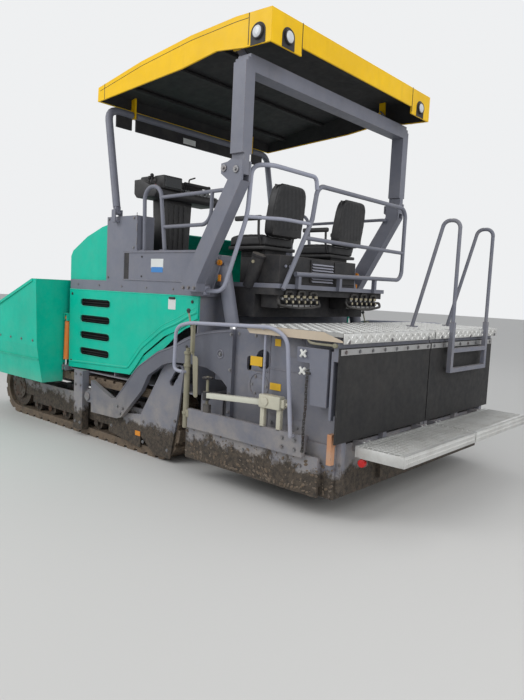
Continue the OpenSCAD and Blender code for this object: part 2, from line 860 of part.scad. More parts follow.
module engine_lid() {
  color(green) {
    intersection() {
      difference() {
        side_cut(-hood_half + 125, hood_half - 125) hood_outline();
        side_cut(-hood_half, hood_half) translate([0, -sheet_t]) hood_outline();
      }
      block(hood_rear, lid_hinge_x, -hood_half, hood_half, 2000, 2400);
    }
    // hinge tube along the lid's front edge
    bar_y(lid_hinge_x, lid_hinge_z, 10 - run_gap, -hood_half + 125, hood_half - 125);
  }
}

/* Side doors */

module door(side) {
  color(green) mirror([0, side < 0 ? 1 : 0, 0]) {
    difference() {
      side_cut(door_out - sheet_t, door_out) door_outline();
      for (i = [0 : slot_count - 1])
        side_cut(door_out - 30, door_out + 10) slot_outline(i);
    }
    // hinge tube along the top edge, just under the band
    bar_x(door_out - sheet_t / 2, band_bottom - 8, 8 - run_gap, door_rear, door_front);
  }
}

module door_outline() {
  polygon([[door_front, band_bottom - 8], [door_rear, band_bottom - 8], [door_rear, 1400],
           [-860, 1358], [-719, 1288], [-493, 1198], [-196, 1004], [-50, 838], [20, 772],
           [door_front, door_low]]);
}

// Fixed skirt that closes the arch over the tow arm, just inboard of the door.
module skirt_outline() {
  polygon([[120, 790], [door_rear, 1480], [door_rear, 1345], [-880, 1330], [-780, 1295],
           [-660, 1225], [-560, 1140], [-420, 1035], [-200, 860], [-100, 795], [60, 762]]);
}

module slot_outline(i) {
  z = band_bottom - 98 - i * slot_pitch;
  square_from(slot_front - slot_len + 20, slot_front - 20, z - slot_h, z);
  for (x = [slot_front - slot_len + 20, slot_front - 20]) translate([x, z - slot_h / 2])
    circle(r = slot_h / 2);
}

/* Deck */

module deck() {
  color(grey) {
    // edge band and floor of the platform
    difference() {
      block(band_rear, band_front, -band_half, band_half, band_bottom, band_top);
      block(band_rear + 12, band_front - 12, -band_half + 12, band_half - 12,
            band_bottom - 1, band_top - 12);
      block(engine_x0 - 60, band_front - 60, -engine_w / 2 - 60, engine_w / 2 + 60,
            band_bottom - 1, band_top + 1);
    }
    difference() {
      block(deck_rear, hood_rear - 5, -deck_rear_half, deck_rear_half, band_top, deck_top);
      block(band_rear + 12, hood_rear - 20, -deck_rear_half + 12, deck_rear_half - 12,
            band_top - 1, deck_top - 10);
    }
    both_sides() {
      // side box with its slanted rear end
      side_cut(band_half - side_box_w, band_half)
        polygon([[side_box_front, band_top], [side_box_front, side_box_top],
                 [-925, side_box_top], [-745, band_top]]);
      // air box under the foot of the front roof post
      block(side_box_front, hood_rear - 8, band_half - air_box_w, band_half,
            band_top, air_box_top);
      block(air_box_rear, side_box_front, band_half - air_box_w, band_half,
            side_box_top, air_box_top);
      // foot bracket of the front roof post
      for (y = [front_post_y - 46, front_post_y + 34])
        block(front_foot_x - 30, front_foot_x + 30, y, y + 12, air_box_top - 40, front_foot_z + 26);
      bar_y(front_foot_x, front_foot_z, 12, front_post_y - 46, front_post_y + 46);
      block(front_foot_x - 30, front_foot_x + 30, band_half, front_post_y + 46,
            air_box_top - 60, air_box_top - 40);
      // hanger of the lift cylinder
      for (y = [lift_y - 88, lift_y + 68])
        side_cut(y, y + 20)
          polygon([[lift_top_x - 50, lift_top_z - 40], [lift_top_x - 50, lift_top_z + 45],
                   [lift_top_x + 40, lift_top_z + 45], [-880, band_top], [band_rear, band_top - 20],
                   [band_rear, band_bottom + 10]]);
      bar_y(lift_top_x, lift_top_z, 22, lift_y - 88, lift_y + 88);
    }
  }
}

module platform_base() {
  color(dark) {
    // cover under the rear of the platform
    block(-1560, band_rear, -lift_y + 120, lift_y - 120, 1645, band_top);
    block(-1330, band_rear, -lift_y + 120, lift_y - 120, 1440, 1645);
    // seat pedestals
    for (side = [-1, 1])
      block(seat_x - 160, seat_x + 150, side * seat_y - 150, side * seat_y + 150,
            deck_top, seat_z - 60);
  }
}

module console() {
  color(dark) {
    block(0, 210, 530, 850, deck_top, 2560);
    block(-90, 260, 150, 1050, 2560, 2640);
    block(20, 300, 250, 950, 2640, 2790);
  }
}

module seats() {
  color(rubber) for (side = [-1, 1]) {
    block(seat_x - 200, seat_x + 260, side * seat_y - seat_w / 2, side * seat_y + seat_w / 2,
          seat_z - 60, seat_z + 60);
    block(seat_x - 290, seat_x - 170, side * seat_y - seat_w / 2, side * seat_y + seat_w / 2,
          seat_z + 60, seat_z + 520);
    for (y = [-seat_w / 2 - 46, seat_w / 2])
      block(seat_x - 180, seat_x + 140, side * seat_y + y, side * seat_y + y + 46,
            seat_z + 190, seat_z + 240);
    for (y = [-seat_w / 2 - 46, seat_w / 2])
      block(seat_x - 180, seat_x - 130, side * seat_y + y, side * seat_y + y + 46,
            seat_z - 20, seat_z + 190);
  }
}

module railings() {
  y1 = band_half - 60;
  x2 = deck_rear - 30;
  color(grey) both_sides() {
    route([[-75, y1, side_box_top + 6], [-55, y1, 2626], [-300, y1, 2626],
           [-385, y1, side_box_top + 6]], rail_r, 120);
    for (x = [-75, -385]) block(x - 35, x + 35, y1 - 35, y1 + 35, side_box_top, side_box_top + 10);
    // top rail, ending on the roof leg
    route([[-302, y1, 2515], [-1370, y1, 2530], [-1370, post_y - post_w / 2, 2530]], rail_r - 2, 40);
    route([[-372, y1, 2235], [-1005, y1, 2240], [-1012, y1, 2532]], rail_r - 2, 120);
  }
  color(dark) {
    route([[x2, 860, band_top - 10], [x2, 500, 2330], [x2, 440, 2640], [x2, -1180, 2640],
           [x2, -1180, 1865], [x2, 700, 1835]], rail_r + 2, 110);
    route([[x2, 600, 2160], [x2, -1180, 2160]], rail_r, 100);
    for (y = [640, 0, -640]) block(x2 - 8, deck_rear, y - 20, y + 20, band_top + 2, 1855);
  }
}

module roof_legs() {
  w0 = post_y - post_w / 2;
  w1 = post_y + post_w / 2;
  color(grey) both_sides() {
    // slanted leg from the deck to the knee
    difference() {
      union() {
        side_cut(w0, w1)
          polygon([[-835, band_top + 6], [-1030, band_top + 6], [knee_x - 60, knee_z - 90],
                   [knee_x + 96, knee_z - 76]]);
        side_cut(w1 - 22, w1)
          polygon([[knee_x - 60, knee_z - 90], [knee_x - 66, knee_z + 70],
                   [knee_x + 60, knee_z + 90], [knee_x + 100, knee_z + 70],
                   [knee_x + 175, knee_z + 60], [knee_x + 175, knee_z - 20],
                   [knee_x + 96, knee_z - 76]]);
        side_cut(w0, w0 + 22)
          polygon([[knee_x - 60, knee_z - 90], [knee_x - 66, knee_z + 70],
                   [knee_x + 60, knee_z + 90], [knee_x + 100, knee_z + 70],
                   [knee_x + 96, knee_z - 76]]);
      }
      bar_y(knee_x, knee_z, 20, w0 - 10, w1 + 10);
      bar_y(knee_x + 138, knee_z + 20, 18, w0 - 10, w1 + 10);
    }
    // foot bracket on the side of the band
    block(-1030, -835, w0, w1, band_top - 64, band_top + 6);
    bar_y(knee_x, knee_z, 20, w0, w1);
  }
}

module hoses_valves() {
  color(dark) {
    for (side = [-1, 1]) {
      block(-1540, -1345, side * 250, side * 820, 1530, 1645);
      for (y = [300 : 90 : 780]) bar_x(side * y, 1590, 20, -1585, -1540);
    }
  }
}

/* Roof */

module rear_roof_posts() {
  w0 = post_y - post_w / 2;
  w1 = post_y + post_w / 2;
  top = roof_under() - 10;
  color(grey) {
    both_sides() {
      difference() {
        union() {
          block(knee_x - 62, knee_x + 78, w0 + 24, w1 - 24, knee_z - 40, knee_z + 130);
          block(knee_x - 62, knee_x + 78, w0, w1, knee_z + 130, top - 60);
        }
        bar_y(knee_x, knee_z, 20 + run_gap, w0 - 10, w1 + 10);
      }
      // arm up to the roof's pin
      difference() {
        side_cut(w0 - 90, w0 - 60)
          polygon([[knee_x - 60, top - 130], [knee_x + 70, top - 130], [knee_top_x + 36, knee_top_z],
                   [knee_top_x, knee_top_z + 34], [knee_top_x - 36, knee_top_z]]);
        bar_y(knee_top_x, knee_top_z, 14 + run_gap, w0 - 100, w0 - 50);
      }
    }
    block(knee_x - 62, knee_x + 78, -w1 + 50, w1 - 50, top - 130, top);
    both_sides() block(knee_x - 62, knee_x + 78, w0 - 40, w1 - 20, top - 60, top - 30);
  }
}

function roof_under() = 3560;

module roof_side_outline() {
  polygon([[roof_front, 3495], [roof_front - 6, 3630], [-154, 3750], [-842, 3826],
           [-1376, roof_top], [roof_rear, roof_top - 14], [roof_rear, 3580], [-1470, 3590],
           [-1160, 3630], [-726, 3573], [-163, 3539]]);
}

module roof() {
  color(yellow) {
    difference() {
      side_cut(-roof_half, roof_half) roof_side_outline();
      side_cut(-roof_half + roof_t, roof_half - roof_t)
        polygon([[roof_front - roof_t, 3400], [roof_front - roof_t - 6, 3630 - roof_t],
                 [-154, 3750 - roof_t], [-842, 3826 - roof_t], [-1376, roof_top - roof_t],
                 [roof_rear + roof_t, roof_top - 14 - roof_t], [roof_rear + roof_t, 3400]]);
      // raised lower edge of the rear fascia between the corner pieces
      block(roof_rear - 1, roof_rear + 60, -930, 930, 3500, 3650);
    }
    both_sides() {
      // brackets for the two arms
      y0 = post_y - post_w / 2 - 60 + 6;
      block(knee_top_x - 36, knee_top_x + 36, y0, y0 + 20, knee_top_z - 36, 3838);
      bar_y(knee_top_x, knee_top_z, 14, y0 - 50, y0 + 20);
    }
    for (y = [-920, 900]) difference() {
      block(front_top_x - 34, front_top_x + 34, y, y + 20, front_top_z - 34, 3628);
      bar_y(front_top_x, front_top_z, front_tube_r + run_gap, y - 5, y + 25);
    }
  }
}

module front_roof_posts() {
  y = front_post_y;
  color(grey) difference() {
    union() {
      route([[front_foot_x, y, front_foot_z], [front_top_x, y, front_top_z],
             [front_top_x, -y, front_top_z], [front_foot_x, -y, front_foot_z]],
            front_tube_r, 110);
      both_sides() bar_y(front_foot_x, front_foot_z, front_tube_r + 2, y - 28, y + 28);
    }
    bar_y(front_foot_x, front_foot_z, 12 + run_gap, -y - 60, y + 60);
  }
}

/* Augers */

module auger(side) {
  turns = (1150 - 60) / auger_pitch;
  color(steel) mirror([0, side < 0 ? 1 : 0, 0]) {
    bar_y(auger_x, auger_z, auger_shaft_r, 5, 1195);
    translate([auger_x, 60, auger_z]) rotate([-90, 0, 0])
      linear_extrude(height = 1090, twist = 360 * turns, slices = ceil(turns * 20), $fn = 12)
        translate([auger_shaft_r - 4, -flight_t * 2]) square([auger_r - auger_shaft_r + 4, flight_t * 4]);
  }
}

/* Tow arms and screed */

module arm_outline() {
  difference() {
    polygon([[tow_x - 55, 640], [tow_x - 68, 300], [180, 308], [125, 312], [60, 335],
             [-254, 646], [-355, 816], [-501, 902], [-560, 940], [-640, 966], [-760, 985], [-1020, 995],
             [-1160, 985], [-1260, 955], [-1340, 915], [-1420, 850], [-1420, 570],
             [arm_rear, 570], [arm_rear, 1345], [-1240, 1318], [-1035, 1280],
             [-860, 1215], [-719, 1141], [-493, 1063], [-196, 885], [150, 520], [230, 505]]);
  }
}

module tow_arms() {
  color(grey) both_sides() difference() {
    union() {
      side_cut(arm_in, arm_out) arm_outline();
      // bearing block at the tow point
      side_cut(arm_in, arm_out) {
        translate([tow_x, tow_z]) circle(r = 60);
        square_from(tow_x - 80, tow_x, tow_z - 60, tow_z + 60);
      }
      // lug plates for the lift cylinder, on a cross stub
      block(lift_low_x - 60, lift_low_x + 60, lift_y - 60, arm_in, lift_low_z - 110, lift_low_z - 70);
      for (y = [lift_y - 60, lift_y + 40])
        block(lift_low_x - 40, lift_low_x + 40, y, y + 20, lift_low_z - 70, lift_low_z + 40);
    }
    bar_y(tow_x, tow_z, tow_pin_r + run_gap, arm_in - 10, arm_out + 10);
  }
}

module screed_base() {
  color(grey) difference() {
    union() {
      difference() {
        block(screed_rear, screed_front, -screed_half, screed_half, screed_z, screed_top);
        block(screed_rear + screed_t, screed_front - screed_t, -screed_half + screed_t,
              screed_half - screed_t, screed_z + screed_t, screed_top + 1);
      }
      both_sides() {
        // side plate with its slot
        difference() {
          block(-1880, arm_rear, screed_half, arm_in + 10, screed_top - 60, 1356);
          for (z = [1040, 1110]) bar_y(-1628, z, 26, 1200, 1300);
          block(-1654, -1602, 1200, 1300, 1040, 1110);
        }
        for (x = [-1600, -1990]) block(x, x + 60, 300, 360, screed_top - 10, 1280);
      }
      // telescopic guides: the left one low, the right one above it
      for (side = [-1, 1])
        bar_y(guide_x, guide_z + guide_up(side), guide_r, -screed_half, screed_half + 8);
      for (x = [-1600, -1990])
        block(x, x + 60, -screed_half, screed_half, 1280, 1350);
      for (y = [-1000, 1000]) block(-1930, -1540, y - 15, y + 15, screed_top - 10, 1350);
    }
    for (side = [-1, 1])
      bar_y(guide_x, guide_z + guide_up(side), tube_r + run_gap, -screed_half - 30, screed_half + 50);
  }
}

function guide_up(side) = side > 0 ? 0 : 2 * guide_r + 16;

module extension(side) {
  in = ext_gap / 2;
  if (side < 0) ladder();
  g_z = guide_z + guide_up(side);
  color(grey) mirror([0, side < 0 ? 1 : 0, 0]) {
    difference() {
      block(ext_rear, ext_front, in, ext_out, screed_z, screed_top);
      block(ext_rear + screed_t, ext_front - screed_t, in + screed_t, ext_out - screed_t,
            screed_z + screed_t, screed_top + 1);
    }
    // outer side plate and back posts
    block(-2230, -1890, ext_out - 40, ext_out - 14, screed_top - 40, walk_z - walk_t);
    block(-2560, -2230, ext_out - 40, ext_out - 14, screed_top - 40, walk_z - walk_t);
    for (y = [in, 640, ext_out - 74])
      block(ext_rear - 40, ext_rear, y, y + 60, screed_z + 60, walk_z - walk_t);
    block(ext_rear - 40, ext_rear, in, mat_out, 1200, walk_z - walk_t - 8);
    // tongue plate and sliding tube of the telescopic guide
    block(-1900, guide_x + 120, ext_out - 40, ext_out - 14, g_z - 110, g_z + 110);
    bar_y(guide_x, g_z, tube_r, -screed_half + 90, ext_out - 14);
    // brackets and pins of the lower step
    for (y = [120, 1040]) {
      block(hinge_x + 16, ext_rear, y, y + 30, step_z - step_h, step_z);
      block(hinge_x - 12, hinge_x + 16, y, y + 30, step_z - 44, step_z + 8);
      bar_y(hinge_x, step_z - 4, 10, y - 40, y + 70);
    }
    // end gate beam and skirt
    difference() {
      block(-2325, -1050, gate_out - 34, gate_out, 452, 620);
      for (x = [-2250, -2130]) for (z = [500, 570]) bar_y(x, z, 9, gate_out - 50, gate_out + 10);
    }
    block(-2450, -1000, gate_out - 58, gate_out - 34, screed_z, 470);
    block(-2300, -2080, ext_out - 14, gate_out - 34, 480, 600);
    block(-2450, -2350, ext_out - 14, gate_out - 58, 250, 420);
  }
}

// Ladder with two hand hoops behind the right mat; a hoop's front leg stands on the walkway.
module ladder() {
  x = ext_rear - 125;
  color(grey) {
    for (y = [ladder_y1, ladder_y0]) {
      block(x, x + 40, y - 25, y + 25, ladder_low, walk_z + 70);
      block(x, ext_rear - 40, y - 25, y + 25, walk_z - walk_t - 60, walk_z - walk_t - 10);
      route([[x + 20, y, walk_z + 60], [x + 20, y, hoop_top], [x + 170, y, hoop_top],
             [x + hoop_reach, y, walk_z + 8]], 17, 70);
      block(x + hoop_reach - 40, x + hoop_reach + 40, y - 40, y + 40, walk_z, walk_z + 12);
    }
    for (z = [ladder_low, ladder_low + 180])
      block(x, x + 40, ladder_y1 + 25, ladder_y0 - 25, z, z + 40);
  }
}

module mat(side) {
  color(rubber) mirror([0, side < 0 ? 1 : 0, 0])
    block(ext_rear - 40 - mat_t, ext_rear - 40, ext_gap / 2, mat_out, mat_low, mat_top);
}

module walkway(side) {
  color(alu) mirror([0, side < 0 ? 1 : 0, 0])
    block(walk_rear, walk_front, ext_gap / 2, walk_out, walk_z - walk_t, walk_z);
}

module step(side) {
  color(alu) mirror([0, side < 0 ? 1 : 0, 0]) {
    difference() {
      block(step_rear, step_front, ext_gap / 2, step_out, step_z - step_h, step_z);
      block(step_rear + 8, step_front - 8, ext_gap / 2 + 8, step_out - 8,
            step_z - step_h - 1, step_z - 8);
      // clearance round the brackets of the hinge
      for (y = [114, 1034]) block(step_front - 30, step_front + 1, y, y + 42, 400, 700);
    }
    for (y = [90, 160, 1010, 1080]) difference() {
      block(step_front - 2, hinge_x + 14, y, y + 16, step_z - 18, step_z + 6);
      bar_y(hinge_x, step_z - 4, 10 + run_gap, y - 5, y + 25);
    }
  }
}

/* Lift cylinders */

module along_lift() {
  tilt = atan2(lift_top_x - lift_low_x, lift_top_z - lift_low_z);
  translate([lift_top_x, lift_y, lift_top_z]) rotate([0, 180 + tilt, 0]) children();
}

module lift_barrel(side) {
  color(grey) mirror([0, side < 0 ? 1 : 0, 0]) along_lift() difference() {
    union() {
      translate([0, 0, 60]) cylinder(h = lift_barrel - 60, r = lift_r);
      rotate([90, 0, 0]) translate([0, 0, run_gap - 68]) cylinder(h = 136 - 2 * run_gap, r = 48);
      translate([-40, -34, 0]) cube([80, 68, 80]);
    }
    translate([0, 0, 120]) cylinder(h = lift_barrel, r = lift_rod_r + run_gap);
    rotate([90, 0, 0]) translate([0, 0, -80]) cylinder(h = 160, r = 22 + run_gap);
  }
}

module lift_rod(side) {
  len = norm([lift_top_x - lift_low_x, lift_top_z - lift_low_z]);
  color(chrome) mirror([0, side < 0 ? 1 : 0, 0]) along_lift() {
    translate([0, 0, 300]) cylinder(h = len - 300 - 20, r = lift_rod_r);
    translate([0, 0, len]) rotate([90, 0, 0]) translate([0, 0, run_gap - 40])
      cylinder(h = 80 - 2 * run_gap, r = 44);
  }
}

chassis_frame();
hopper_frame();
tow_columns();
auger_drive();
engine_block();
deck();
engine_cover();
platform_base();
console();
seats();
railings();
roof_legs();
conveyors();
tracks();
track_frames();
hoses_valves();
door(1);  // door_left
door(-1);  // door_right
engine_lid();
wing(1);  // wing_left
wing(-1);  // wing_right
wing_barrel(1);  // wing_barrel_left
wing_rod(1);  // wing_rod_left
wing_barrel(-1);  // wing_barrel_right
wing_rod(-1);  // wing_rod_right
apron();
roller_beam();
push_roller(1);  // push_roller_left
push_roller(-1);  // push_roller_right
auger(1);  // auger_left
auger(-1);  // auger_right
tow_arms();
screed_base();
lift_barrel(1);  // lift_barrel_left
lift_rod(1);  // lift_rod_left
lift_barrel(-1);  // lift_barrel_right
lift_rod(-1);  // lift_rod_right
extension(1);  // extension_left
extension(-1);  // extension_right
mat(1);  // mat_left
mat(-1);  // mat_right
walkway(1);  // walkway_left
walkway(-1);  // walkway_right
step(1);  // step_left
step(-1);  // step_right
rear_roof_posts();
roof();
front_roof_posts();
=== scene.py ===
import json
import math

import bmesh
import bpy
from bpy.props import FloatProperty, FloatVectorProperty, PointerProperty
from mathutils import Matrix, Vector


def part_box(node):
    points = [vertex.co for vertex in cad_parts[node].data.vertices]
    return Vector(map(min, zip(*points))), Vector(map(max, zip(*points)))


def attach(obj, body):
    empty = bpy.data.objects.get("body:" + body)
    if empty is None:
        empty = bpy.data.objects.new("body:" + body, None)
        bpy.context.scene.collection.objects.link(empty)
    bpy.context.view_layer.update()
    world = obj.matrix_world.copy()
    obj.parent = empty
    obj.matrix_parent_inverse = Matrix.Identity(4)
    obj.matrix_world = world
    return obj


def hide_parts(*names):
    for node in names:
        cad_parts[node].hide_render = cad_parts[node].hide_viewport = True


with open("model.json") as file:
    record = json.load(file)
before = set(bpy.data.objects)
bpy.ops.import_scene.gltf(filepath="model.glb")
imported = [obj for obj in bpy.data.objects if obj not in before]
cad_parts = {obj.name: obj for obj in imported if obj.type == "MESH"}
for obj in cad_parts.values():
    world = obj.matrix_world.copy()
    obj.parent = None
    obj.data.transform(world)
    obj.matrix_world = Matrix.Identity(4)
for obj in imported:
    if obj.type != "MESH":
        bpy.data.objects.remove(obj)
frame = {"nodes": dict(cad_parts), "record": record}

bl_info = {
    "name": "Tracked paver dressing",
    "version": (1, 0, 0),
    "blender": (4, 5, 0),
    "location": "3D View > Sidebar > Paver",
    "description": "Paint, treads, seats, hoses, lamps and trim on the frame of a tracked paver",
    "category": "Object",
}

MM = 0.001
SIDES = (("left", 1), ("right", -1))
OUT = (0, 1, 0)
BACK = (-1, 0, 0)


# places on the frame, in mm, given for the left side

def lowest(node):
    """Lowest corner of a node's box at rest."""
    return [round(v / MM, 1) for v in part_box(node)[0]]


def highest(node):
    """Highest corner of a node's box at rest."""
    return [round(v / MM, 1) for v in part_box(node)[1]]


ROOF_REAR, ROOF_SIDE = lowest("roof")[0], highest("roof")[1]
LEG_SIDE = highest("roof_legs")[1]
BAND_SIDE = highest("railings")[1]     # the rails stand flush with the band and its boxes
PLATE_SIDE = highest("tow_arms")[1]    # the extensions' side plates share this face
PLATE_HUB = (-1781, 915)               # x, z of the round swage on the side plate
GEAR_Y = 1371                          # the height setting gear stands in this plane
GATE_SIDE = highest("extension_left")[1]
BASE_SIDE = highest("screed_base")[1]
WALK_REAR, WALK_SIDE, WALK_TOP = lowest("walkway_left")[0], *highest("walkway_left")[1:]
MAT_REAR = lowest("mat_left")[0]
STEP_REAR, STEP_INNER, STEP_FOOT = lowest("step_left")
STEP_FRONT, STEP_SIDE, STEP_TOP = -2676, highest("step_left")[1], 592
FRAME_SIDE = highest("track_frames")[1]
SPROCKET_X, IDLER_X, AXLE_Z = -420, 2330, 330


def body_of(node):
    """Name of the body that carries a node."""
    bodies = frame["record"]["behaviour"]["bodies"]
    return next(body for body, nodes in bodies.items() if node in nodes)


def around(count, radius, start=0.0):
    """Places spaced evenly on a circle, as offsets from its centre."""
    for i in range(count):
        turn = start + i * math.tau / count
        yield radius * math.cos(turn), radius * math.sin(turn)


def draws(seed):
    """Endless run of numbers from 0 to 1, the same at each run of the script."""
    while True:
        seed = (seed * 1103515245 + 12345) % 2 ** 31
        yield seed / 2 ** 31


# sizes and colours

def colour(name, description, default):
    return FloatVectorProperty(name=name, description=description, subtype="COLOR", size=3,
                               min=0.0, max=1.0, default=default)


def length(name, description, default):
    return FloatProperty(name=name, description=description, default=default, unit="LENGTH",
                         precision=4)


class PaverColours(bpy.types.PropertyGroup):
    """Paints and bare materials of the machine."""
    green: colour("Body green", "Paint of hood, doors and hopper wings", (0.0005, 0.52, 0.36))
    grey: colour("Frame grey", "Paint of frame, deck, posts and screed", (0.180, 0.188, 0.232))
    yellow: colour("Roof yellow", "Paint of the roof shell", (0.95, 0.56, 0.001))
    orange: colour("Cylinder orange", "Paint of the wing cylinders", (0.78, 0.19, 0.015))
    dust: colour("Dust", "Dry dust that settles on everything", (0.42, 0.37, 0.31))
    rust: colour("Rust", "Rust on bare steel", (0.17, 0.065, 0.025))
    tar: colour("Tar", "Bitumen that sticks to tracks and screed", (0.018, 0.016, 0.015))
    alu: colour("Aluminium", "Tread plate of walkways and steps", (0.72, 0.72, 0.70))
    floor: colour("Floor", "Plain floor of the stage", (0.62, 0.61, 0.59))


class PaverSizes(bpy.types.PropertyGroup):
    """Sizes of the trim that the frame leaves out."""
    bolt: length("Bolt head", "Width across the corners of a common bolt head", 0.026)
    stud: length("Tread stud", "Diameter of a raised stud on the tread plate", 0.026)
    stud_pitch: length("Stud pitch", "Spacing of the studs along the plate", 0.052)
    wear: length("Edge wear", "Width of the worn line along an edge", 0.006)


def colours():
    return bpy.context.scene.paver_colours


def sizes():
    return bpy.context.scene.paver_sizes


def shaded(base, share):
    """A colour made darker or lighter."""
    return [min(1.0, v * share) for v in base]


# materials

class Finish:
    """A node material built step by step around one shader."""

    def __init__(self, name):
        self.material = bpy.data.materials.new(name)
        self.material.use_nodes = True
        self.nodes = self.material.node_tree.nodes
        self.links = self.material.node_tree.links
        self.shader = self.nodes["Principled BSDF"]
        self.place = self.nodes.new("ShaderNodeTexCoord").outputs["Object"]

    def put(self, kind, **values):
        """Adds a node, with its sockets or its settings at the values."""
        node = self.nodes.new(kind)
        for key, value in values.items():
            if key in node.inputs:
                node.inputs[key].default_value = value
            else:
                setattr(node, key, value)
        return node

    def feed(self, value, socket):
        """Links an output to a socket, or sets a number or a colour in it."""
        if isinstance(value, bpy.types.NodeSocket):
            self.links.new(value, socket)
        elif hasattr(value, "__len__"):
            socket.default_value = (*value, 1.0)[:4]
        else:
            socket.default_value = value

    def noise(self, scale, detail=4.0, roughness=0.6, stretch=None):
        node = self.put("ShaderNodeTexNoise", Scale=scale, Detail=detail, Roughness=roughness)
        source = self.place
        if stretch:
            mapping = self.put("ShaderNodeMapping", Scale=stretch)
            self.links.new(source, mapping.inputs["Vector"])
            source = mapping.outputs["Vector"]
        self.links.new(source, node.inputs["Vector"])
        return node.outputs["Fac"]

    def ramp(self, source, low, high):
        """0 where the source is below low, 1 above high."""
        node = self.put("ShaderNodeMapRange")
        node.inputs["From Min"].default_value = low
        node.inputs["From Max"].default_value = high
        self.links.new(source, node.inputs["Value"])
        return node.outputs["Result"]

    def patches(self, scale, detail, roughness, low, high, stretch=None):
        """1 in ragged patches, 0 between them."""
        return self.ramp(self.noise(scale, detail, roughness, stretch), low, high)

    def math(self, operation, a, b):
        node = self.put("ShaderNodeMath", operation=operation)
        self.feed(a, node.inputs[0])
        self.feed(b, node.inputs[1])
        return node.outputs[0]

    def times(self, a, b):
        return self.math("MULTIPLY", a, b)

    def most(self, a, b):
        return self.math("MAXIMUM", a, b)

    def mix(self, share, first, second):
        node = self.put("ShaderNodeMix", data_type="RGBA")
        self.feed(share, node.inputs["Factor"])
        self.feed(first, node.inputs[6])
        self.feed(second, node.inputs[7])
        return node.outputs[2]

    def edges(self, width):
        """1 on a line of the given width along sharp edges, 0 elsewhere."""
        rounded = self.put("ShaderNodeBevel", samples=4, Radius=width)
        true = self.put("ShaderNodeNewGeometry").outputs["True Normal"]
        dot = self.put("ShaderNodeVectorMath", operation="DOT_PRODUCT")
        self.links.new(rounded.outputs["Normal"], dot.inputs[0])
        self.links.new(true, dot.inputs[1])
        return self.ramp(dot.outputs["Value"], 0.985, 0.90)

    def upward(self, low=0.45, high=0.95):
        """1 where the surface faces up."""
        normal = self.put("ShaderNodeNewGeometry").outputs["Normal"]
        split = self.put("ShaderNodeSeparateXYZ")
        self.links.new(normal, split.inputs[0])
        return self.ramp(split.outputs["Z"], low, high)

    def below(self, full, none):
        """1 below the height full, 0 above none, in metres."""
        split = self.put("ShaderNodeSeparateXYZ")
        self.links.new(self.place, split.inputs[0])
        return self.ramp(split.outputs["Z"], none, full)

    def bump(self, source, distance, strength=1.0):
        node = self.put("ShaderNodeBump", Distance=distance, Strength=strength)
        self.links.new(source, node.inputs["Height"])
        if self.shader.inputs["Normal"].links:
            earlier = self.shader.inputs["Normal"].links[0].from_socket
            self.links.new(earlier, node.inputs["Normal"])
        self.links.new(node.outputs["Normal"], self.shader.inputs["Normal"])

    def colour(self, source):
        self.feed(source, self.shader.inputs["Base Color"])

    def rough(self, source, low, high):
        node = self.put("ShaderNodeMapRange")
        node.inputs["To Min"].default_value = low
        node.inputs["To Max"].default_value = high
        self.links.new(source, node.inputs["Value"])
        self.links.new(node.outputs["Result"], self.shader.inputs["Roughness"])

    def set(self, **values):
        """Sets shader inputs; a low line in a name stands for a blank."""
        for key, value in values.items():
            self.shader.inputs[key.replace("_", " ")].default_value = value


def painted(name, base, rough=0.35, wear=0.5, dust=0.25, dirt_top=0.9, coat=0.08, shine=0.4,
            cake=None):
    """Sprayed steel: slight shade changes, chipped edges, dust on top and dirt low down."""
    look = Finish(name)
    c = colours()
    shade = look.mix(look.patches(1.7, 5.0, 0.65, 0.3, 0.7), shaded(base, 0.90),
                     shaded(base, 1.08))
    soil = look.times(look.patches(6.0, 8.0, 0.72, 0.42, 0.72), dust)
    settled = look.times(look.upward(), 0.22 + dust * 0.5)
    splashed = look.times(look.below(0.25, dirt_top), look.patches(3.5, 7.0, 0.7, 0.35, 0.62))
    soil = look.most(look.most(soil, settled), look.times(splashed, 0.75))
    shade = look.mix(soil, shade, c.dust)
    streak = look.patches(9.0, 6.0, 0.7, 0.55, 0.75, stretch=(1.0, 1.0, 0.12))
    shade = look.mix(look.times(streak, 0.18), shade, shaded(base, 0.55))
    chips = look.times(look.edges(sizes().wear), look.patches(38.0, 5.0, 0.7, 0.46, 0.58))
    spots = look.times(look.patches(23.0, 7.0, 0.8, 0.735, 0.76), 0.8)
    chips = look.times(look.most(chips, spots), wear)
    primer = (0.16, 0.15, 0.145)
    shade = look.mix(chips, shade,
                     look.mix(look.ramp(look.noise(60.0), 0.4, 0.6), primer, c.rust))
    if cake:
        # wet earth and asphalt that stick below a ragged height
        lap = look.times(look.math("SUBTRACT", look.noise(5.0, 9.0, 0.75), 0.5), 1.7)
        ragged = look.math("ADD", look.below(cake - 0.16, cake + 0.16), lap)
        crust = look.ramp(ragged, 0.36, 0.52)
        lumps = look.noise(26.0, 8.0, 0.8)
        earth, asphalt = (0.100, 0.078, 0.058), (0.034, 0.029, 0.025)
        shade = look.mix(crust, shade, look.mix(look.ramp(lumps, 0.42, 0.6), earth, asphalt))
        soil = look.most(soil, crust)
        look.bump(look.times(lumps, crust), 0.008, 0.8)
    look.colour(shade)
    look.rough(look.most(look.noise(14.0, 6.0), soil), rough - 0.1, rough + 0.35)
    look.bump(look.noise(420.0, 3.0), 0.0003, 0.35)
    look.bump(look.noise(2.2, 2.0), 0.004, 0.25)
    look.set(Specular_IOR_Level=shine, Coat_Weight=coat, Coat_Roughness=0.2)
    return look.material


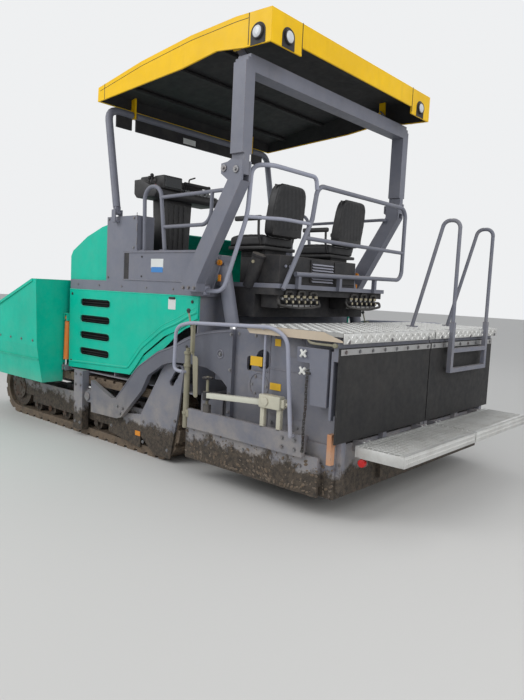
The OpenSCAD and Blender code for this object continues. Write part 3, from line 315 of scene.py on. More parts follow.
def bare_metal(name, base, rough=0.42, rust=0.3, tar=0.0, metallic=0.9):
    """Steel without paint: rubbed bright, with rust and bitumen in the low places."""
    look = Finish(name)
    c = colours()
    shade = look.mix(look.noise(5.0, 6.0, 0.7), shaded(base, 0.75), base)
    shade = look.mix(look.times(look.patches(8.0, 8.0, 0.75, 0.48, 0.62), rust), shade, c.rust)
    shade = look.mix(look.times(look.patches(4.0, 8.0, 0.7, 0.38, 0.55), tar), shade, c.tar)
    look.colour(shade)
    look.rough(look.noise(16.0, 6.0, 0.7, stretch=(1.0, 6.0, 1.0)), rough - 0.12, rough + 0.3)
    look.set(Metallic=metallic)
    look.bump(look.noise(90.0, 5.0, 0.7), 0.0012, 0.5)
    return look.material


def caked(name, base, crust, share=0.6, rough=0.85):
    """Steel caked with earth and asphalt, as on the tracks and the screed's foot."""
    look = Finish(name)
    lumps = look.noise(11.0, 9.0, 0.75)
    shade = look.mix(look.ramp(lumps, 0.5 - share * 0.25, 0.62 - share * 0.1), base, crust)
    shade = look.mix(look.patches(30.0, 6.0, 0.8, 0.55, 0.68), shade, colours().tar)
    polish = look.times(look.edges(0.008), look.ramp(look.noise(18.0), 0.42, 0.6))
    shade = look.mix(look.times(polish, 0.6), shade, (0.30, 0.26, 0.22))
    look.colour(shade)
    look.rough(look.noise(25.0, 5.0), rough - 0.2, rough + 0.1)
    look.bump(lumps, 0.010, 0.9)
    look.bump(look.noise(75.0, 8.0, 0.8), 0.004, 0.8)
    return look.material


def rubbery(name, base, rough=0.62, dust=0.35, grain=160.0):
    """Black rubber or moulded plastic, greyed by dust."""
    look = Finish(name)
    soil = look.times(look.patches(4.0, 8.0, 0.72, 0.42, 0.75), dust)
    streak = look.times(look.patches(12.0, 6.0, 0.7, 0.5, 0.72, stretch=(1.0, 1.0, 0.10)),
                        dust * 0.7)
    soil = look.most(soil, look.most(streak, look.times(look.upward(), dust)))
    scuff = look.times(look.edges(0.006), look.ramp(look.noise(30.0), 0.45, 0.6))
    shade = look.mix(soil, base, shaded(colours().dust, 0.75))
    shade = look.mix(look.times(scuff, 0.35), shade, (0.22, 0.21, 0.20))
    look.colour(shade)
    look.rough(look.noise(20.0, 5.0), rough - 0.12, rough + 0.2)
    look.bump(look.noise(grain, 4.0), 0.0006, 0.5)
    look.bump(look.noise(3.0, 3.0), 0.006, 0.3)
    return look.material


def plain(name, base, rough=0.4, grain=120.0, depth=0.0003):
    """A small part's own finish, with fine grain and slight shade changes."""
    look = Finish(name)
    look.colour(look.mix(look.noise(9.0, 5.0), shaded(base, 0.82), base))
    look.rough(look.noise(30.0, 4.0), max(0.02, rough - 0.08), rough + 0.15)
    look.bump(look.noise(grain, 3.0), depth, 0.4)
    return look.material


def tread_metal(name, base, soiled):
    """Aluminium tread plate: dull between the studs, rubbed and dirty."""
    look = Finish(name)
    shade = look.mix(look.noise(7.0, 7.0, 0.7), shaded(base, 0.80), base)
    soil = look.times(look.patches(5.0, 9.0, 0.75, 0.46, 0.70), soiled)
    look.colour(look.mix(soil, shade, (0.24, 0.21, 0.175)))
    look.rough(look.most(look.noise(22.0, 5.0), soil), 0.22, 0.60)
    look.set(Metallic=0.6)
    look.bump(look.noise(130.0, 5.0, 0.7), 0.0008, 0.5)
    return look.material


FINISHES = {}


def mix_finishes():
    c = colours()
    FINISHES.update({
        "green": painted("body_green", c.green, rough=0.30, wear=0.45, dust=0.07, dirt_top=0.7,
                         shine=0.22),
        "grey": painted("frame_grey", c.grey, rough=0.42, wear=0.6, dust=0.10, dirt_top=0.6),
        "grey_arm": painted("arm_grey", shaded(c.grey, 0.72), rough=0.42, wear=0.7, dust=0.06,
                            dirt_top=0.7),
        "grey_low": painted("chassis_grey", c.grey, rough=0.5, wear=0.6, cake=0.30),
        "grey_dirty": painted("screed_grey", shaded(c.grey, 0.92), rough=0.48, wear=0.8,
                              dust=0.22, dirt_top=0.95, cake=0.36),
        "dark": painted("dark_paint", (0.022, 0.022, 0.025), rough=0.5, wear=0.25, dust=0.08,
                        coat=0.0),
        # painted shade: this near-black finish on the sheet under the roof shell stands for the
        # shade under the roof
        "painted_roof_shade": painted("roof_painted_shade_sheet", (0.028, 0.028, 0.030), rough=0.7, wear=0.0, dust=0.04,
                         coat=0.0),
        "yellow": painted("roof_yellow", c.yellow, rough=0.34, wear=0.25, dust=0.03, shine=0.2),
        "orange": painted("cylinder_orange", c.orange, rough=0.4, wear=0.6),
        "rusty_orange": painted("end_post_orange", (0.62, 0.27, 0.12), rough=0.6, wear=1.0,
                                dust=0.35),
        "tube": painted("rail_grey", shaded(c.grey, 1.9), rough=0.4, wear=0.4, dust=0.15),
        "khaki": painted("khaki_zinc", (0.27, 0.255, 0.175), rough=0.5, wear=0.6, dust=0.30,
                         coat=0.0),
        "cream": painted("cream_paint", (0.66, 0.66, 0.56), rough=0.45, wear=0.8, dust=0.20),
        "cream_worn": painted("cream_worn", (0.60, 0.58, 0.46), rough=0.5, wear=1.0, dust=0.40),
        "sand": painted("sand_fascia", (0.60, 0.50, 0.38), rough=0.55, wear=0.6, dust=0.30),
        "steel": bare_metal("worn_steel", (0.33, 0.31, 0.29), rough=0.45, rust=0.45, tar=0.5),
        "dark_steel": bare_metal("chain_steel", (0.12, 0.115, 0.11), rough=0.5, rust=0.5,
                                 tar=0.3),
        "track_steel": bare_metal("track_steel", (0.15, 0.13, 0.11), rough=0.6, rust=0.7,
                                  tar=0.4, metallic=0.6),
        "chrome": bare_metal("chrome_rod", (0.78, 0.78, 0.80), rough=0.16, rust=0.0,
                             metallic=1.0),
        "brass": bare_metal("zinc_fittings", (0.62, 0.56, 0.40), rough=0.35, rust=0.15, tar=0.2,
                            metallic=0.8),
        "track": caked("track_shoes", (0.085, 0.065, 0.050), (0.17, 0.125, 0.085)),
        "rubber": rubbery("mat_rubber", (0.006, 0.006, 0.007), dust=0.06),
        "hose": rubbery("hose_rubber", (0.014, 0.014, 0.015), rough=0.5, dust=0.25, grain=500.0),
        "plastic": rubbery("moulded_plastic", (0.020, 0.020, 0.022), rough=0.5, dust=0.08,
                           grain=300.0),
        "seat": rubbery("seat_cover", (0.014, 0.014, 0.016), rough=0.45, dust=0.04, grain=420.0),
        "keys": plain("console_keys", (0.32, 0.33, 0.34), rough=0.5),
        "glass": plain("screen_glass", (0.012, 0.016, 0.020), rough=0.12),
        "lens": plain("lamp_lens", (0.72, 0.74, 0.76), rough=0.12, grain=60.0, depth=0.002),
        "amber": plain("amber_lens", (0.85, 0.30, 0.02), rough=0.2, grain=90.0, depth=0.001),
        "red": plain("red_lens", (0.62, 0.012, 0.012), rough=0.22, grain=90.0, depth=0.001),
        "label_pale": plain("blank_label_pale", (0.80, 0.82, 0.80)),
        "label_blue": plain("blank_label_blue", (0.05, 0.25, 0.62)),
        "label_yellow": plain("blank_label_yellow", (0.88, 0.52, 0.02), rough=0.45),
        "white_plastic": plain("white_plastic", (0.80, 0.80, 0.76), rough=0.45),
        "alu": tread_metal("tread_studs", c.alu, 0.30),
        "alu_plate": tread_metal("tread_plate", shaded(c.alu, 0.62), 0.60),
        "galvanised": bare_metal("galvanised", (0.50, 0.50, 0.50), rough=0.4, rust=0.12),
        "bolt": bare_metal("bolt_heads", (0.30, 0.30, 0.31), rough=0.4, metallic=0.8),
    })


def both(*nodes):
    """The left and the right node of each pair."""
    return tuple(node + "_" + name for node in nodes for name, _ in SIDES)


NODES_BY_FINISH = {
    "green": ("engine_cover", "engine_lid", *both("door", "wing")),
    "yellow": ("roof",),
    "grey": ("deck", "railings", "roof_legs", "rear_roof_posts", "front_roof_posts",
             *both("lift_barrel")),
    "grey_arm": ("tow_arms",),
    "grey_low": ("chassis_frame", "hopper_frame", "tow_columns"),
    "grey_dirty": ("auger_drive", "track_frames", "roller_beam", "screed_base",
                   *both("extension")),
    "dark": ("engine_block", "platform_base", "hoses_valves"),
    "orange": both("wing_barrel"),
    "chrome": both("wing_rod", "lift_rod"),
    "steel": ("conveyors", *both("push_roller", "auger")),
    "track": ("tracks",),
    "rubber": ("apron", *both("mat")),
    "plastic": ("console",),
    "seat": ("seats",),
    "alu_plate": both("walkway"),
    "alu": both("step"),
}


# mesh helpers

class Maker:
    """Collects shapes in a bmesh and makes them a piece, then starts on the next piece.

    Places and sizes are in mm of the frame for the left side; the right side mirrors them.
    """

    def __init__(self, side=1):
        self.bm = bmesh.new()
        self.side = side

    def at(self, place):
        """A place in mm, mirrored to the side in hand, in metres."""
        x, y, z = place
        return Vector((x * MM, y * MM * self.side, z * MM))

    def ease(self, edges, width, segments=2):
        bmesh.ops.bevel(self.bm, geom=list(edges), offset=width * MM, segments=segments,
                        affect="EDGES", profile=0.5, material=-1)

    def cube(self, low, high, edge=0.0, segments=2):
        a, b = self.at(low), self.at(high)
        size = Vector([abs(b[i] - a[i]) for i in range(3)])
        matrix = Matrix.Translation((a + b) / 2) @ Matrix.Diagonal((*size, 1.0))
        made = bmesh.ops.create_cube(self.bm, size=1.0, matrix=matrix)
        if edge:
            self.ease({e for v in made["verts"] for e in v.link_edges}, edge, segments)

    def rod(self, start, end, radius, sides=20, edge=0.0, tip=None):
        """Round rod from start to end, tapered where its end has the radius tip."""
        a, b = self.at(start), self.at(end)
        turn = (b - a).to_track_quat("Z", "Y").to_matrix().to_4x4()
        made = bmesh.ops.create_cone(self.bm, cap_ends=True, segments=sides, radius1=radius * MM,
                                     radius2=(tip or radius) * MM, depth=(b - a).length,
                                     matrix=Matrix.Translation((a + b) / 2) @ turn)
        if edge:
            self.ease({e for v in made["verts"] for e in v.link_edges
                       if any(len(f.verts) > 4 for f in e.link_faces)}, edge)

    def ball(self, centre, radius, squash=(1, 1, 1), sides=12):
        matrix = Matrix.Translation(self.at(centre)) @ Matrix.Diagonal((*squash, 1.0))
        bmesh.ops.create_uvsphere(self.bm, u_segments=sides, v_segments=max(4, sides // 2),
                                  radius=radius * MM, matrix=matrix)

    def ring(self, centre, axis, radius, wire, sides=24, facets=8):
        """Round ring of a wire, spun about an axis."""
        centre, axis = self.at(centre), Vector(axis).normalized()
        arm = axis.orthogonal().normalized()
        turn = Matrix((arm, axis.cross(arm), axis)).transposed().to_4x4()
        made = bmesh.ops.create_circle(
            self.bm, segments=facets, radius=wire * MM,
            matrix=Matrix.Translation(centre + arm * radius * MM) @ turn
            @ Matrix.Rotation(math.radians(90), 4, "X"))
        edges = list({e for v in made["verts"] for e in v.link_edges})
        bmesh.ops.spin(self.bm, geom=made["verts"] + edges, cent=centre, axis=axis,
                       angle=math.tau, steps=sides, use_merge=True)

    def outline(self, points, y0, y1, edge=0.0):
        """Outline in the X-Z plane, carried across from y0 to y1."""
        self.sheet([(x, y0, z) for x, z in points], (0, y1 - y0, 0), edge)

    def cross(self, points, x0, x1, edge=0.0):
        """Outline in the Y-Z plane, carried along from x0 to x1."""
        self.sheet([(x0, y, z) for y, z in points], (x1 - x0, 0, 0), edge)

    def sheet(self, points, carry, edge=0.0):
        """Flat outline, carried along to give it its thickness."""
        face = self.bm.faces.new([self.bm.verts.new(self.at(p)) for p in points])
        made = bmesh.ops.extrude_face_region(self.bm, geom=[face])
        verts = [g for g in made["geom"] if isinstance(g, bmesh.types.BMVert)]
        bmesh.ops.translate(self.bm, verts=verts, vec=self.at(carry))
        if edge:
            self.ease({e for v in [*verts, *face.verts] for e in v.link_edges}, edge)

    def tube(self, stops, radius, bend, sides=12, caps=True):
        """Tube through the stops, bent round at the corners between them."""
        path = self.rounded([self.at(s) for s in stops], bend * MM)
        loops = []
        side = None
        for i, point in enumerate(path):
            ahead = (path[min(i + 1, len(path) - 1)] - path[max(i - 1, 0)]).normalized()
            side = ahead.orthogonal() if side is None else side - ahead * side.dot(ahead)
            side.normalize()
            turn = Matrix((side, ahead.cross(side), ahead)).transposed().to_4x4()
            made = bmesh.ops.create_circle(self.bm, segments=sides, radius=radius * MM,
                                           cap_ends=caps and i in (0, len(path) - 1),
                                           matrix=Matrix.Translation(point) @ turn)
            loops.append(list({e for v in made["verts"] for e in v.link_edges}))
        for one, two in zip(loops, loops[1:]):
            bmesh.ops.bridge_loops(self.bm, edges=one + two)

    def rounded(self, stops, bend, steps=6):
        """The stops, with each corner between them replaced by a curve."""
        path = [stops[0]]
        for a, b, c in zip(stops, stops[1:], stops[2:]):
            u, v = (b - a).normalized(), (c - b).normalized()
            reach = min(bend, (b - a).length * 0.48, (c - b).length * 0.48)
            for step in range(steps + 1):
                t = step / steps
                path.append((b - u * reach) * (1 - t) ** 2 + b * 2 * t * (1 - t)
                            + (b + v * reach) * t * t)
        return [*path, stops[-1]]

    def bolt(self, place, out, width=None, high=12):
        """Hex head on its washer, standing on place and facing out; a common one by default."""
        foot, out = Vector(place), Vector(out).normalized()
        width = width or sizes().bolt / MM
        washer = 3
        self.rod(foot, foot + out * washer, width * 0.72, 14)
        self.rod(foot + out * washer, foot + out * high, width * 0.5, 6)

    def piece(self, name, body, material, slot=None, smooth=False):
        """Makes the shapes so far one object that rides on a body."""
        bmesh.ops.recalc_face_normals(self.bm, faces=self.bm.faces)
        mesh = bpy.data.meshes.new(name)
        self.bm.to_mesh(mesh)
        self.bm.free()
        self.bm = bmesh.new()
        obj = bpy.data.objects.new(name, mesh)
        bpy.context.scene.collection.objects.link(obj)
        mesh.materials.append(FINISHES[material])
        if smooth:
            mesh.polygons.foreach_set("use_smooth", [True] * len(mesh.polygons))
            mesh.set_sharp_from_angle(angle=math.radians(38))
        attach(obj, body)
        return obj


# operators

# the camera's place in metres, its lens in mm and the directions of its right and its back
CAMERA_PLACE, CAMERA_LENS = (-5.0235, 4.9743, 1.6745), 31.62
CAMERA_RIGHT, CAMERA_BACK = (-0.74852, -0.66139, 0.04792), (-0.6557, 0.7490, 0.0957)
# name, place in metres, power in watts and width of each lamp, all aimed at one place
LAMPS = (("key", (3.0, 9.0, 7.5), 430.0, 6.0), ("rear", (-9.0, 2.0, 5.5), 230.0, 6.0),
         ("top", (0.0, -1.0, 9.5), 150.0, 8.0))
LAMP_AIM = (-0.3, 0.0, 1.3)


class PAVER_OT_stage(bpy.types.Operator):
    """Floor, soft studio light and the camera at the viewing place"""
    bl_idname = "paver.stage"
    bl_label = "Stage"

    def execute(self, context):
        context.scene.view_settings.view_transform = "Standard"
        self.floor()
        self.world(context.scene)
        self.lamps()
        self.camera()
        return {"FINISHED"}

    def floor(self):
        bm = bmesh.new()
        bmesh.ops.create_grid(bm, x_segments=1, y_segments=1, size=60.0)
        mesh = bpy.data.meshes.new("floor")
        bm.to_mesh(mesh)
        bm.free()
        floor = bpy.data.objects.new("floor", mesh)
        bpy.context.scene.collection.objects.link(floor)
        look = Finish("plain_floor")
        base = colours().floor
        look.colour(look.mix(look.noise(0.35, 3.0), shaded(base, 0.97), base))
        look.set(Roughness=0.9)
        mesh.materials.append(look.material)

    def world(self, scene):
        """Soft light on the machine, and a paler backdrop where it is seen or mirrored."""
        scene.world = scene.world or bpy.data.worlds.new("studio")
        scene.world.use_nodes = True
        nodes, links = scene.world.node_tree.nodes, scene.world.node_tree.links
        nodes.clear()
        out = nodes.new("ShaderNodeOutputWorld")
        mix = nodes.new("ShaderNodeMixShader")
        for socket, tint, strength in ((1, (0.93, 0.96, 1.0, 1.0), 0.62),
                                       (2, (0.86, 0.87, 0.88, 1.0), 1.0)):
            light = nodes.new("ShaderNodeBackground")
            light.inputs["Color"].default_value = tint
            light.inputs["Strength"].default_value = strength
            links.new(light.outputs[0], mix.inputs[socket])
        path = nodes.new("ShaderNodeLightPath")
        seen = path.outputs["Is Camera Ray"]
        for ray in ("Is Glossy Ray", "Is Transmission Ray"):
            either = nodes.new("ShaderNodeMath")
            either.operation = "MAXIMUM"
            links.new(seen, either.inputs[0])
            links.new(path.outputs[ray], either.inputs[1])
            seen = either.outputs[0]
        links.new(seen, mix.inputs[0])
        links.new(mix.outputs[0], out.inputs[0])

    def lamps(self):
        for name, place, power, width in LAMPS:
            lamp = bpy.data.lights.new(name, "AREA")
            lamp.energy = power
            lamp.size = width
            obj = bpy.data.objects.new(name, lamp)
            bpy.context.scene.collection.objects.link(obj)
            obj.location = place
            aim = Vector(LAMP_AIM) - Vector(place)
            obj.rotation_euler = aim.to_track_quat("-Z", "Y").to_euler()

    def camera(self):
        data = bpy.data.cameras.new("camera")
        data.lens = CAMERA_LENS
        data.clip_end = 200.0
        camera = bpy.data.objects.new("camera", data)
        bpy.context.scene.collection.objects.link(camera)
        right, back = Vector(CAMERA_RIGHT).normalized(), Vector(CAMERA_BACK)
        back = (back - right * back.dot(right)).normalized()
        turn = Matrix((right, back.cross(right), back)).transposed().to_4x4()
        camera.matrix_world = Matrix.Translation(CAMERA_PLACE) @ turn
        bpy.context.scene.camera = camera


class PAVER_OT_paint(bpy.types.Operator):
    """Gives every node of the frame its finish"""
    bl_idname = "paver.paint"
    bl_label = "Paint"

    def execute(self, context):
        mix_finishes()
        for name, nodes in NODES_BY_FINISH.items():
            for node in nodes:
                materials = frame["nodes"][node].data.materials
                materials.clear()
                materials.append(FINISHES[name])
        return {"FINISHED"}


class PAVER_OT_roof(bpy.types.Operator):
    """Near-black sheet of painted shade under the roof, corner lamps, seam strips and the front
    hoop
    """
    bl_idname = "paver.roof"
    bl_label = "Roof"

    def execute(self, context):
        self.painted_roof_shade()
        self.lamps()
        self.hoop()
        return {"FINISHED"}

    def hoop(self):
        """Thick tube of the front hoop, cross panel and label; open at the roof's brackets."""
        x, top, radius, bend = 490, 3442, 38, 130
        make = Maker()
        for side in (-1, 1):
            y = 1228 * side
            make.tube([(300, y, 2446), (x, y, top), (x, 932 * side, top)], radius, bend, 24)
            make.cube((270, y - 30, 2380), (318, y + 30, 2450), edge=5)
        make.tube([(x, -886, top), (x, 886, top)], radius, 10, 24)
        make.piece("front_hoop_tube", "front_roof_posts", "grey", "grey", smooth=True)
        for y0, y1 in ((-1128, -934), (-884, 884), (934, 1128)):
            make.cube((478, y0, 3286), (500, y1, 3412), edge=5)
        make.piece("front_hoop_panel", "front_roof_posts", "dark")
        make.cube((476.5, 36, 3304), (478.5, 224, 3364))
        make.piece("front_hoop_blank_label", "front_roof_posts", "label_pale")

    # near-black sheet under the roof shell: painted shade of the roof's underside
    def painted_roof_shade(self):
        # x, z of the top of the near-black sheet that paints the shade under the roof, just under
        # the shell, and of its lower edge at the sides
        top = [(524, 3500), (518, 3606), (-158, 3727), (-842, 3803), (-1376, 3827),
               (-1736, 3813), (-1736, 3660)]
        edge = [(-1736, 3588), (-1470, 3598), (-1160, 3636), (-726, 3580), (-163, 3546)]
        half = 1292
        make = Maker()
        right, left = ([make.bm.verts.new(make.at((x, y, z))) for x, z in top]
                       for y in (-half, half))
        for a, b, c, d in zip(right, right[1:], left[1:], left):
            make.bm.faces.new([a, b, c, d])
        for y in (-half, half):
            make.bm.faces.new([make.bm.verts.new(make.at((x, y, z)))
                               for x, z in top[:-1] + edge])
        bmesh.ops.remove_doubles(make.bm, verts=make.bm.verts, dist=0.0005)
        bmesh.ops.recalc_face_normals(make.bm, faces=make.bm.faces)
        bmesh.ops.solidify(make.bm, geom=make.bm.faces[:], thickness=-0.003)
        # ribs across the sheet, near-black as well: painted shade
        for x, z in ((250, 3640), (-350, 3738), (-900, 3796)):
            make.cube((x - 25, -1280, z - 26), (x + 25, 1280, z - 2), edge=4)
        # the sheet and its ribs are one piece of painted shade under the roof
        make.piece("roof_painted_shade_sheet", "roof", "painted_roof_shade")

    def lamps(self):
        radius, drop = 78, 86
        turns = [i * math.pi / 14 for i in range(15)]
        arch = [(radius, -drop), *((radius * math.cos(a), radius * math.sin(a)) for a in turns),
                (-radius, -drop)]
        rear_y, side_x = 1105, -1622
        # foot of each lamp on the roof's edge, and the way that it looks
        lamps = ((Vector((ROOF_REAR - 2, rear_y, 3672)), Vector(BACK)),
                 (Vector((side_x, ROOF_SIDE + 2, 3676)), Vector(OUT)))
        for name, side in SIDES:
            make = Maker(side)
            make.cross([(rear_y + a, 3668 + b) for a, b in arch], ROOF_REAR, ROOF_REAR - 2.5)
            make.outline([(side_x + a, 3672 + b) for a, b in arch], ROOF_SIDE, ROOF_SIDE + 2.5)
            for foot, out in lamps:
                tip = foot + out * 14
                make.rod(foot, tip, 58, 32, edge=3)
                make.ring(tip, (out.x, out.y * side, 0), 52, 6, 32)
            make.piece("roof_lamp_rim_" + name, "roof", "dark", smooth=True)
            for foot, out in lamps:
                make.ball(foot + out * 13, 47, [0.3 if v else 1 for v in out], 24)
            make.piece("roof_lamp_glass_" + name, "roof", "lens", smooth=True)
            seam = [(505, 3595), (-160, 3708), (-842, 3784), (-1376, 3808), (-1520, 3806)]
            make.tube([(x, ROOF_SIDE, z) for x, z in seam], 2.5, 40, 6)
            make.cube((-1523, ROOF_SIDE - 1, 3600), (-1517, ROOF_SIDE + 2, 3844))
            make.cube((ROOF_REAR, 927, 3600), (ROOF_REAR - 3, 933, 3840))
            make.piece("roof_side_seam_" + name, "roof", "dark")
        make = Maker()
        for side in (-1, 1):
            make.cube((427, side * ROOF_SIDE, 3506), (433, side * (ROOF_SIDE + 1.5), 3650))
        make.piece("roof_seams", "roof", "dark")


class PAVER_OT_doors(bpy.types.Operator):
    """Louvre blades, swaged lip, latches and blank label of the side doors"""
    bl_idname = "paver.doors"
    bl_label = "Doors"

    def execute(self, context):
        for name, side in SIDES:
            self.louvres(Maker(side), name)
            self.lip(Maker(side), name)
        return {"FINISHED"}

    def louvres(self, make, name):
        """Dark box behind the four slots, with three blades in each, and the slots' rims."""
        door, pitch = "door_" + name, 177
        x0, x1, y0, y1, z0, z1 = 392, 918, 1150, 1212, 860, 1512
        make.cube((x0, y0, z0), (x1, y0 + 4, z1))
        for x in (x0, x1 - 4):
            make.cube((x, y0, z0), (x + 4, y1, z1))
        for z in (z0, z1 - 4):
            make.cube((x0, y0, z), (x1, y1, z + 4))
        for slot in range(4):
            for row in range(3):
                z = 1492 - pitch * slot - 27 * row
                make.sheet([(400, 1203, z), (910, 1203, z), (910, 1172, z - 22),
                            (400, 1172, z - 22)], (0, 0, -3))
        make.piece("door_louvres_" + name, door, "dark")
        y, rim = 1223, 4.5
        for slot in range(4):
            z = 1460 - pitch * slot
            for s in (-1, 1):
                make.tube([(425, y, z + 42 * s), (885, y, z + 42 * s)], rim, 5, 8)
            for x, s in ((425, -1), (885, 1)):
                make.tube([(x, y, z - 42), (x + 46 * s, y, z - 30), (x + 46 * s, y, z + 30),
                           (x, y, z + 42)], rim, 30, 8)
        make.piece("door_slot_rims_" + name, door, "green", "green", smooth=True)

    def lip(self, make, name):
        door, face = "door_" + name, 1222
        # x, z of the swage that follows the door's arch
        swage = [(1130, 790), (60, 836), (10, 880), (-160, 1058), (-470, 1262), (-700, 1348),
                 (-842, 1418), (-940, 1456)]
        make.tube([(x, 1219, z) for x, z in swage], 13, 60)
        make.tube([(x + 6, 1219, z + 44) for x, z in swage[1:]], 6, 60, 10)
        make.piece("door_swage_" + name, door, "green", "green", smooth=True)
        for x, z in ((-880, 1545), (1095, 1545), (1095, 800)):
            make.rod((x, face, z), (x, face + 7, z), 15, edge=2)
            make.cube((x - 3, face + 7, z - 10), (x + 3, face + 9, z + 10))
        make.cube((-640, face, 1556), (-560, face + 10, 1578), edge=3)
        make.piece("door_latches_" + name, door, "dark", smooth=True)
        if name == "left":
            make.cube((-650, face, 1462), (-545, face + 1, 1560))
            make.piece("door_blank_label", door, "label_pale")


class PAVER_OT_seats(bpy.types.Operator):
    """Two padded seats with piping, arm rests and suspension, in place of the plain blocks"""
    bl_idname = "paver.seats"
    bl_label = "Seats"

    def execute(self, context):
        for name, side in SIDES:
            y = 520 * side
            self.pad("seat_cushion_" + name, (-1282, y - 228, 2082), (-822, y + 228, 2186),
                     crown=16, channels=5, front_drop=26)
            self.pad("seat_back_" + name, (-110, y - 224, 0), (0, y + 224, 470),
                     crown=10, channels=6, stand=(-1252, 2172))
            self.shell(Maker(), name, y)
            self.bellows(Maker(), name, y)
        return {"FINISHED"}

    def shell(self, make, name, y):
        """Pan under the cushion, two arm rests, back shell and the handle above it."""
        make.cube((-1290, y - 226, 2052), (-830, y + 226, 2084), edge=8)
        for s in (-1, 1):
            arm = y + s * 253
            make.cube((-1262, arm - 20, 2310), (-938, arm + 20, 2356), edge=14, segments=3)
            make.tube([(-1232, arm, 2318), (-1236, arm, 2180), (-1236, y + s * 215, 2100)],
                      12, 40)
        make.cube((-1372, y - 205, 2182), (-1358, y + 205, 2632), edge=5)
        make.tube([(-1330, y - 90, 2628), (-1344, y - 90, 2648), (-1344, y + 90, 2648),
                   (-1330, y + 90, 2628)], 8, 16)
        shell = make.piece("seat_frame_" + name, "chassis", "plastic", smooth=True)
        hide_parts("seats")

    def bellows(self, make, name, y):
        """Folds of the seat suspension over the pedestal."""
        for i in range(4):
            z = 2050 - 16 * i
            inset = 3 * (i % 2)
            make.cube((-1200 + inset, y - 158 + inset, z - 14),
                      (-945 - inset, y + 158 - inset, z), edge=5)
        make.piece("seat_bellows_" + name, "chassis", "rubber")

    def pad(self, name, low, high, crown, channels, front_drop=0, stand=None):
        """Foam pad: rounded block, crowned, with pulled-in seams and piping round its face.

        A back stands upright on the place stand, leans back and narrows to its top.
        """
        make = Maker()
        bmesh.ops.create_cube(make.bm, size=2.0)
        bmesh.ops.subdivide_edges(make.bm, edges=make.bm.edges[:], cuts=47, use_grid_fill=True)
        size = [(h - l) / 2 for l, h in zip(low, high)]
        middle = [(h + l) / 2 for l, h in zip(low, high)]
        across = 1
        face, along = (2, 0) if stand is None else (0, 2)
        seam_at = 0.56
        for vert in make.bm.verts:
            p = list(vert.co)
            scale = max(abs(v) for v in p) / sum(abs(v) ** 7 for v in p) ** (1 / 7)
            p = [v * scale for v in p]
            u, v, out = p[along], p[across], p[face]
            soft = (1 - min(1, abs(u)) ** 2) * (1 - min(1, abs(v)) ** 2)
            seam = math.exp(-((abs(v) - seam_at) / 0.035) ** 2) * (1 - abs(u) ** 8)
            wave = abs(math.sin(math.pi * (u + 1) / 2 * channels))
            tuck = (1 - wave ** 0.45) * (1 - abs(u) ** 10) if abs(v) < seam_at else 0
            wing = math.exp(-((abs(v) - 0.80) / 0.16) ** 2)
            lift = crown * soft + 13 * wing - 11 * seam - 8 * tuck
            wrinkle = 1.6 * math.sin(19 * v + 7 * u) * math.sin(13 * u - 5 * v)
            q = [p[i] * size[i] + middle[i] for i in range(3)]
            q[face] += (lift + wrinkle - crown * 0.6) * out if out > 0 else wrinkle
            if stand is None:
                q[2] -= front_drop * max(0.0, u - 0.55) ** 1.5 * 2
            else:
                lumbar = 28 * math.exp(-((u + 0.35) / 0.35) ** 2) * soft * max(0, out)
                narrow = 1 - 0.16 * max(0.0, u) ** 2
                q = [stand[0] + q[0] - q[2] * 0.14 + lumbar,
                     middle[1] + (q[1] - middle[1]) * narrow, stand[1] + q[2]]
            vert.co = make.at(q)
        obj = make.piece(name, "chassis", "seat", "seat")
        obj.data.polygons.foreach_set("use_smooth", [True] * len(obj.data.polygons))
        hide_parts("seats")


class PAVER_OT_console(bpy.types.Operator):
    """Operator's console: column, slanted desk, hood, display, keys, levers and steering grip"""
    bl_idname = "paver.console"
    bl_label = "Console"

    def execute(self, context):
        make = Maker()
        self.shell(make)
        make.cube((-92, 722, 2668), (-84, 928, 2772), edge=3)
        make.piece("console_screen", "chassis", "glass")
        for row in range(3):
            for col in range(9):
                x, y, z = -55 + 42 * row, 200 + 52 * col, 2648 + 19 * row
                make.cube((x - 11, y - 15, z), (x + 11, y + 15, z + 12), edge=4)
        make.piece("console_keys", "chassis", "keys")
        self.levers(make)
        make.ball((-40, 470, 2676), 17)
        make.ball((-45, 1018, 2668), 13)
        make.piece("console_stop_buttons", "chassis", "red", smooth=True)
        return {"FINISHED"}

    def shell(self, make):
        """Ribbed column, slanted desk, hood along it and the display's case."""
        make.cross([(520, 1744), (810, 1744), (850, 2562), (480, 2562)], 6, 204, edge=8)
        make.outline([(-70, 2558), (-92, 2590), (-88, 2634), (150, 2742), (262, 2742),
                      (262, 2600), (220, 2558)], 150, 1050, edge=10)
        make.outline([(40, 2690), (120, 2790), (285, 2790), (300, 2752), (262, 2690)], 250, 950,
                     edge=12)
        make.cube((-86, 700, 2650), (70, 950, 2786), edge=12, segments=3)
        for y in (562, 630, 698, 766):
            make.cube((-2, y, 1810), (8, y + 30, 2520), edge=3)
        shell = make.piece("console_shell", "chassis", "plastic", smooth=True)
        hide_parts("console")

    def levers(self, make):
        # x, y, height of each lever on the desk
        for x, y, high in ((60, 990, 92), (60, 200, 80), (100, 990, 70), (-20, 1010, 66)):
            z = 2700 if x > 0 else 2662
            make.rod((x, y, z - 30), (x - 10, y, z + high - 20), 7)
            make.ball((x - 10, y, z + high - 10), 20)
        # grip in front of the desk, and the hooked handle on its hood
        for y in (330, 620):
            make.tube([(-20, y, 2660), (-62, y, 2740)], 9, 5)
        make.tube([(-62, 300, 2742), (-62, 650, 2742)], 19, 10, 16)
        make.tube([(150, 400, 2780), (160, 400, 2840), (60, 400, 2850)], 8, 30)
        make.piece("console_levers", "chassis", "dark", smooth=True)


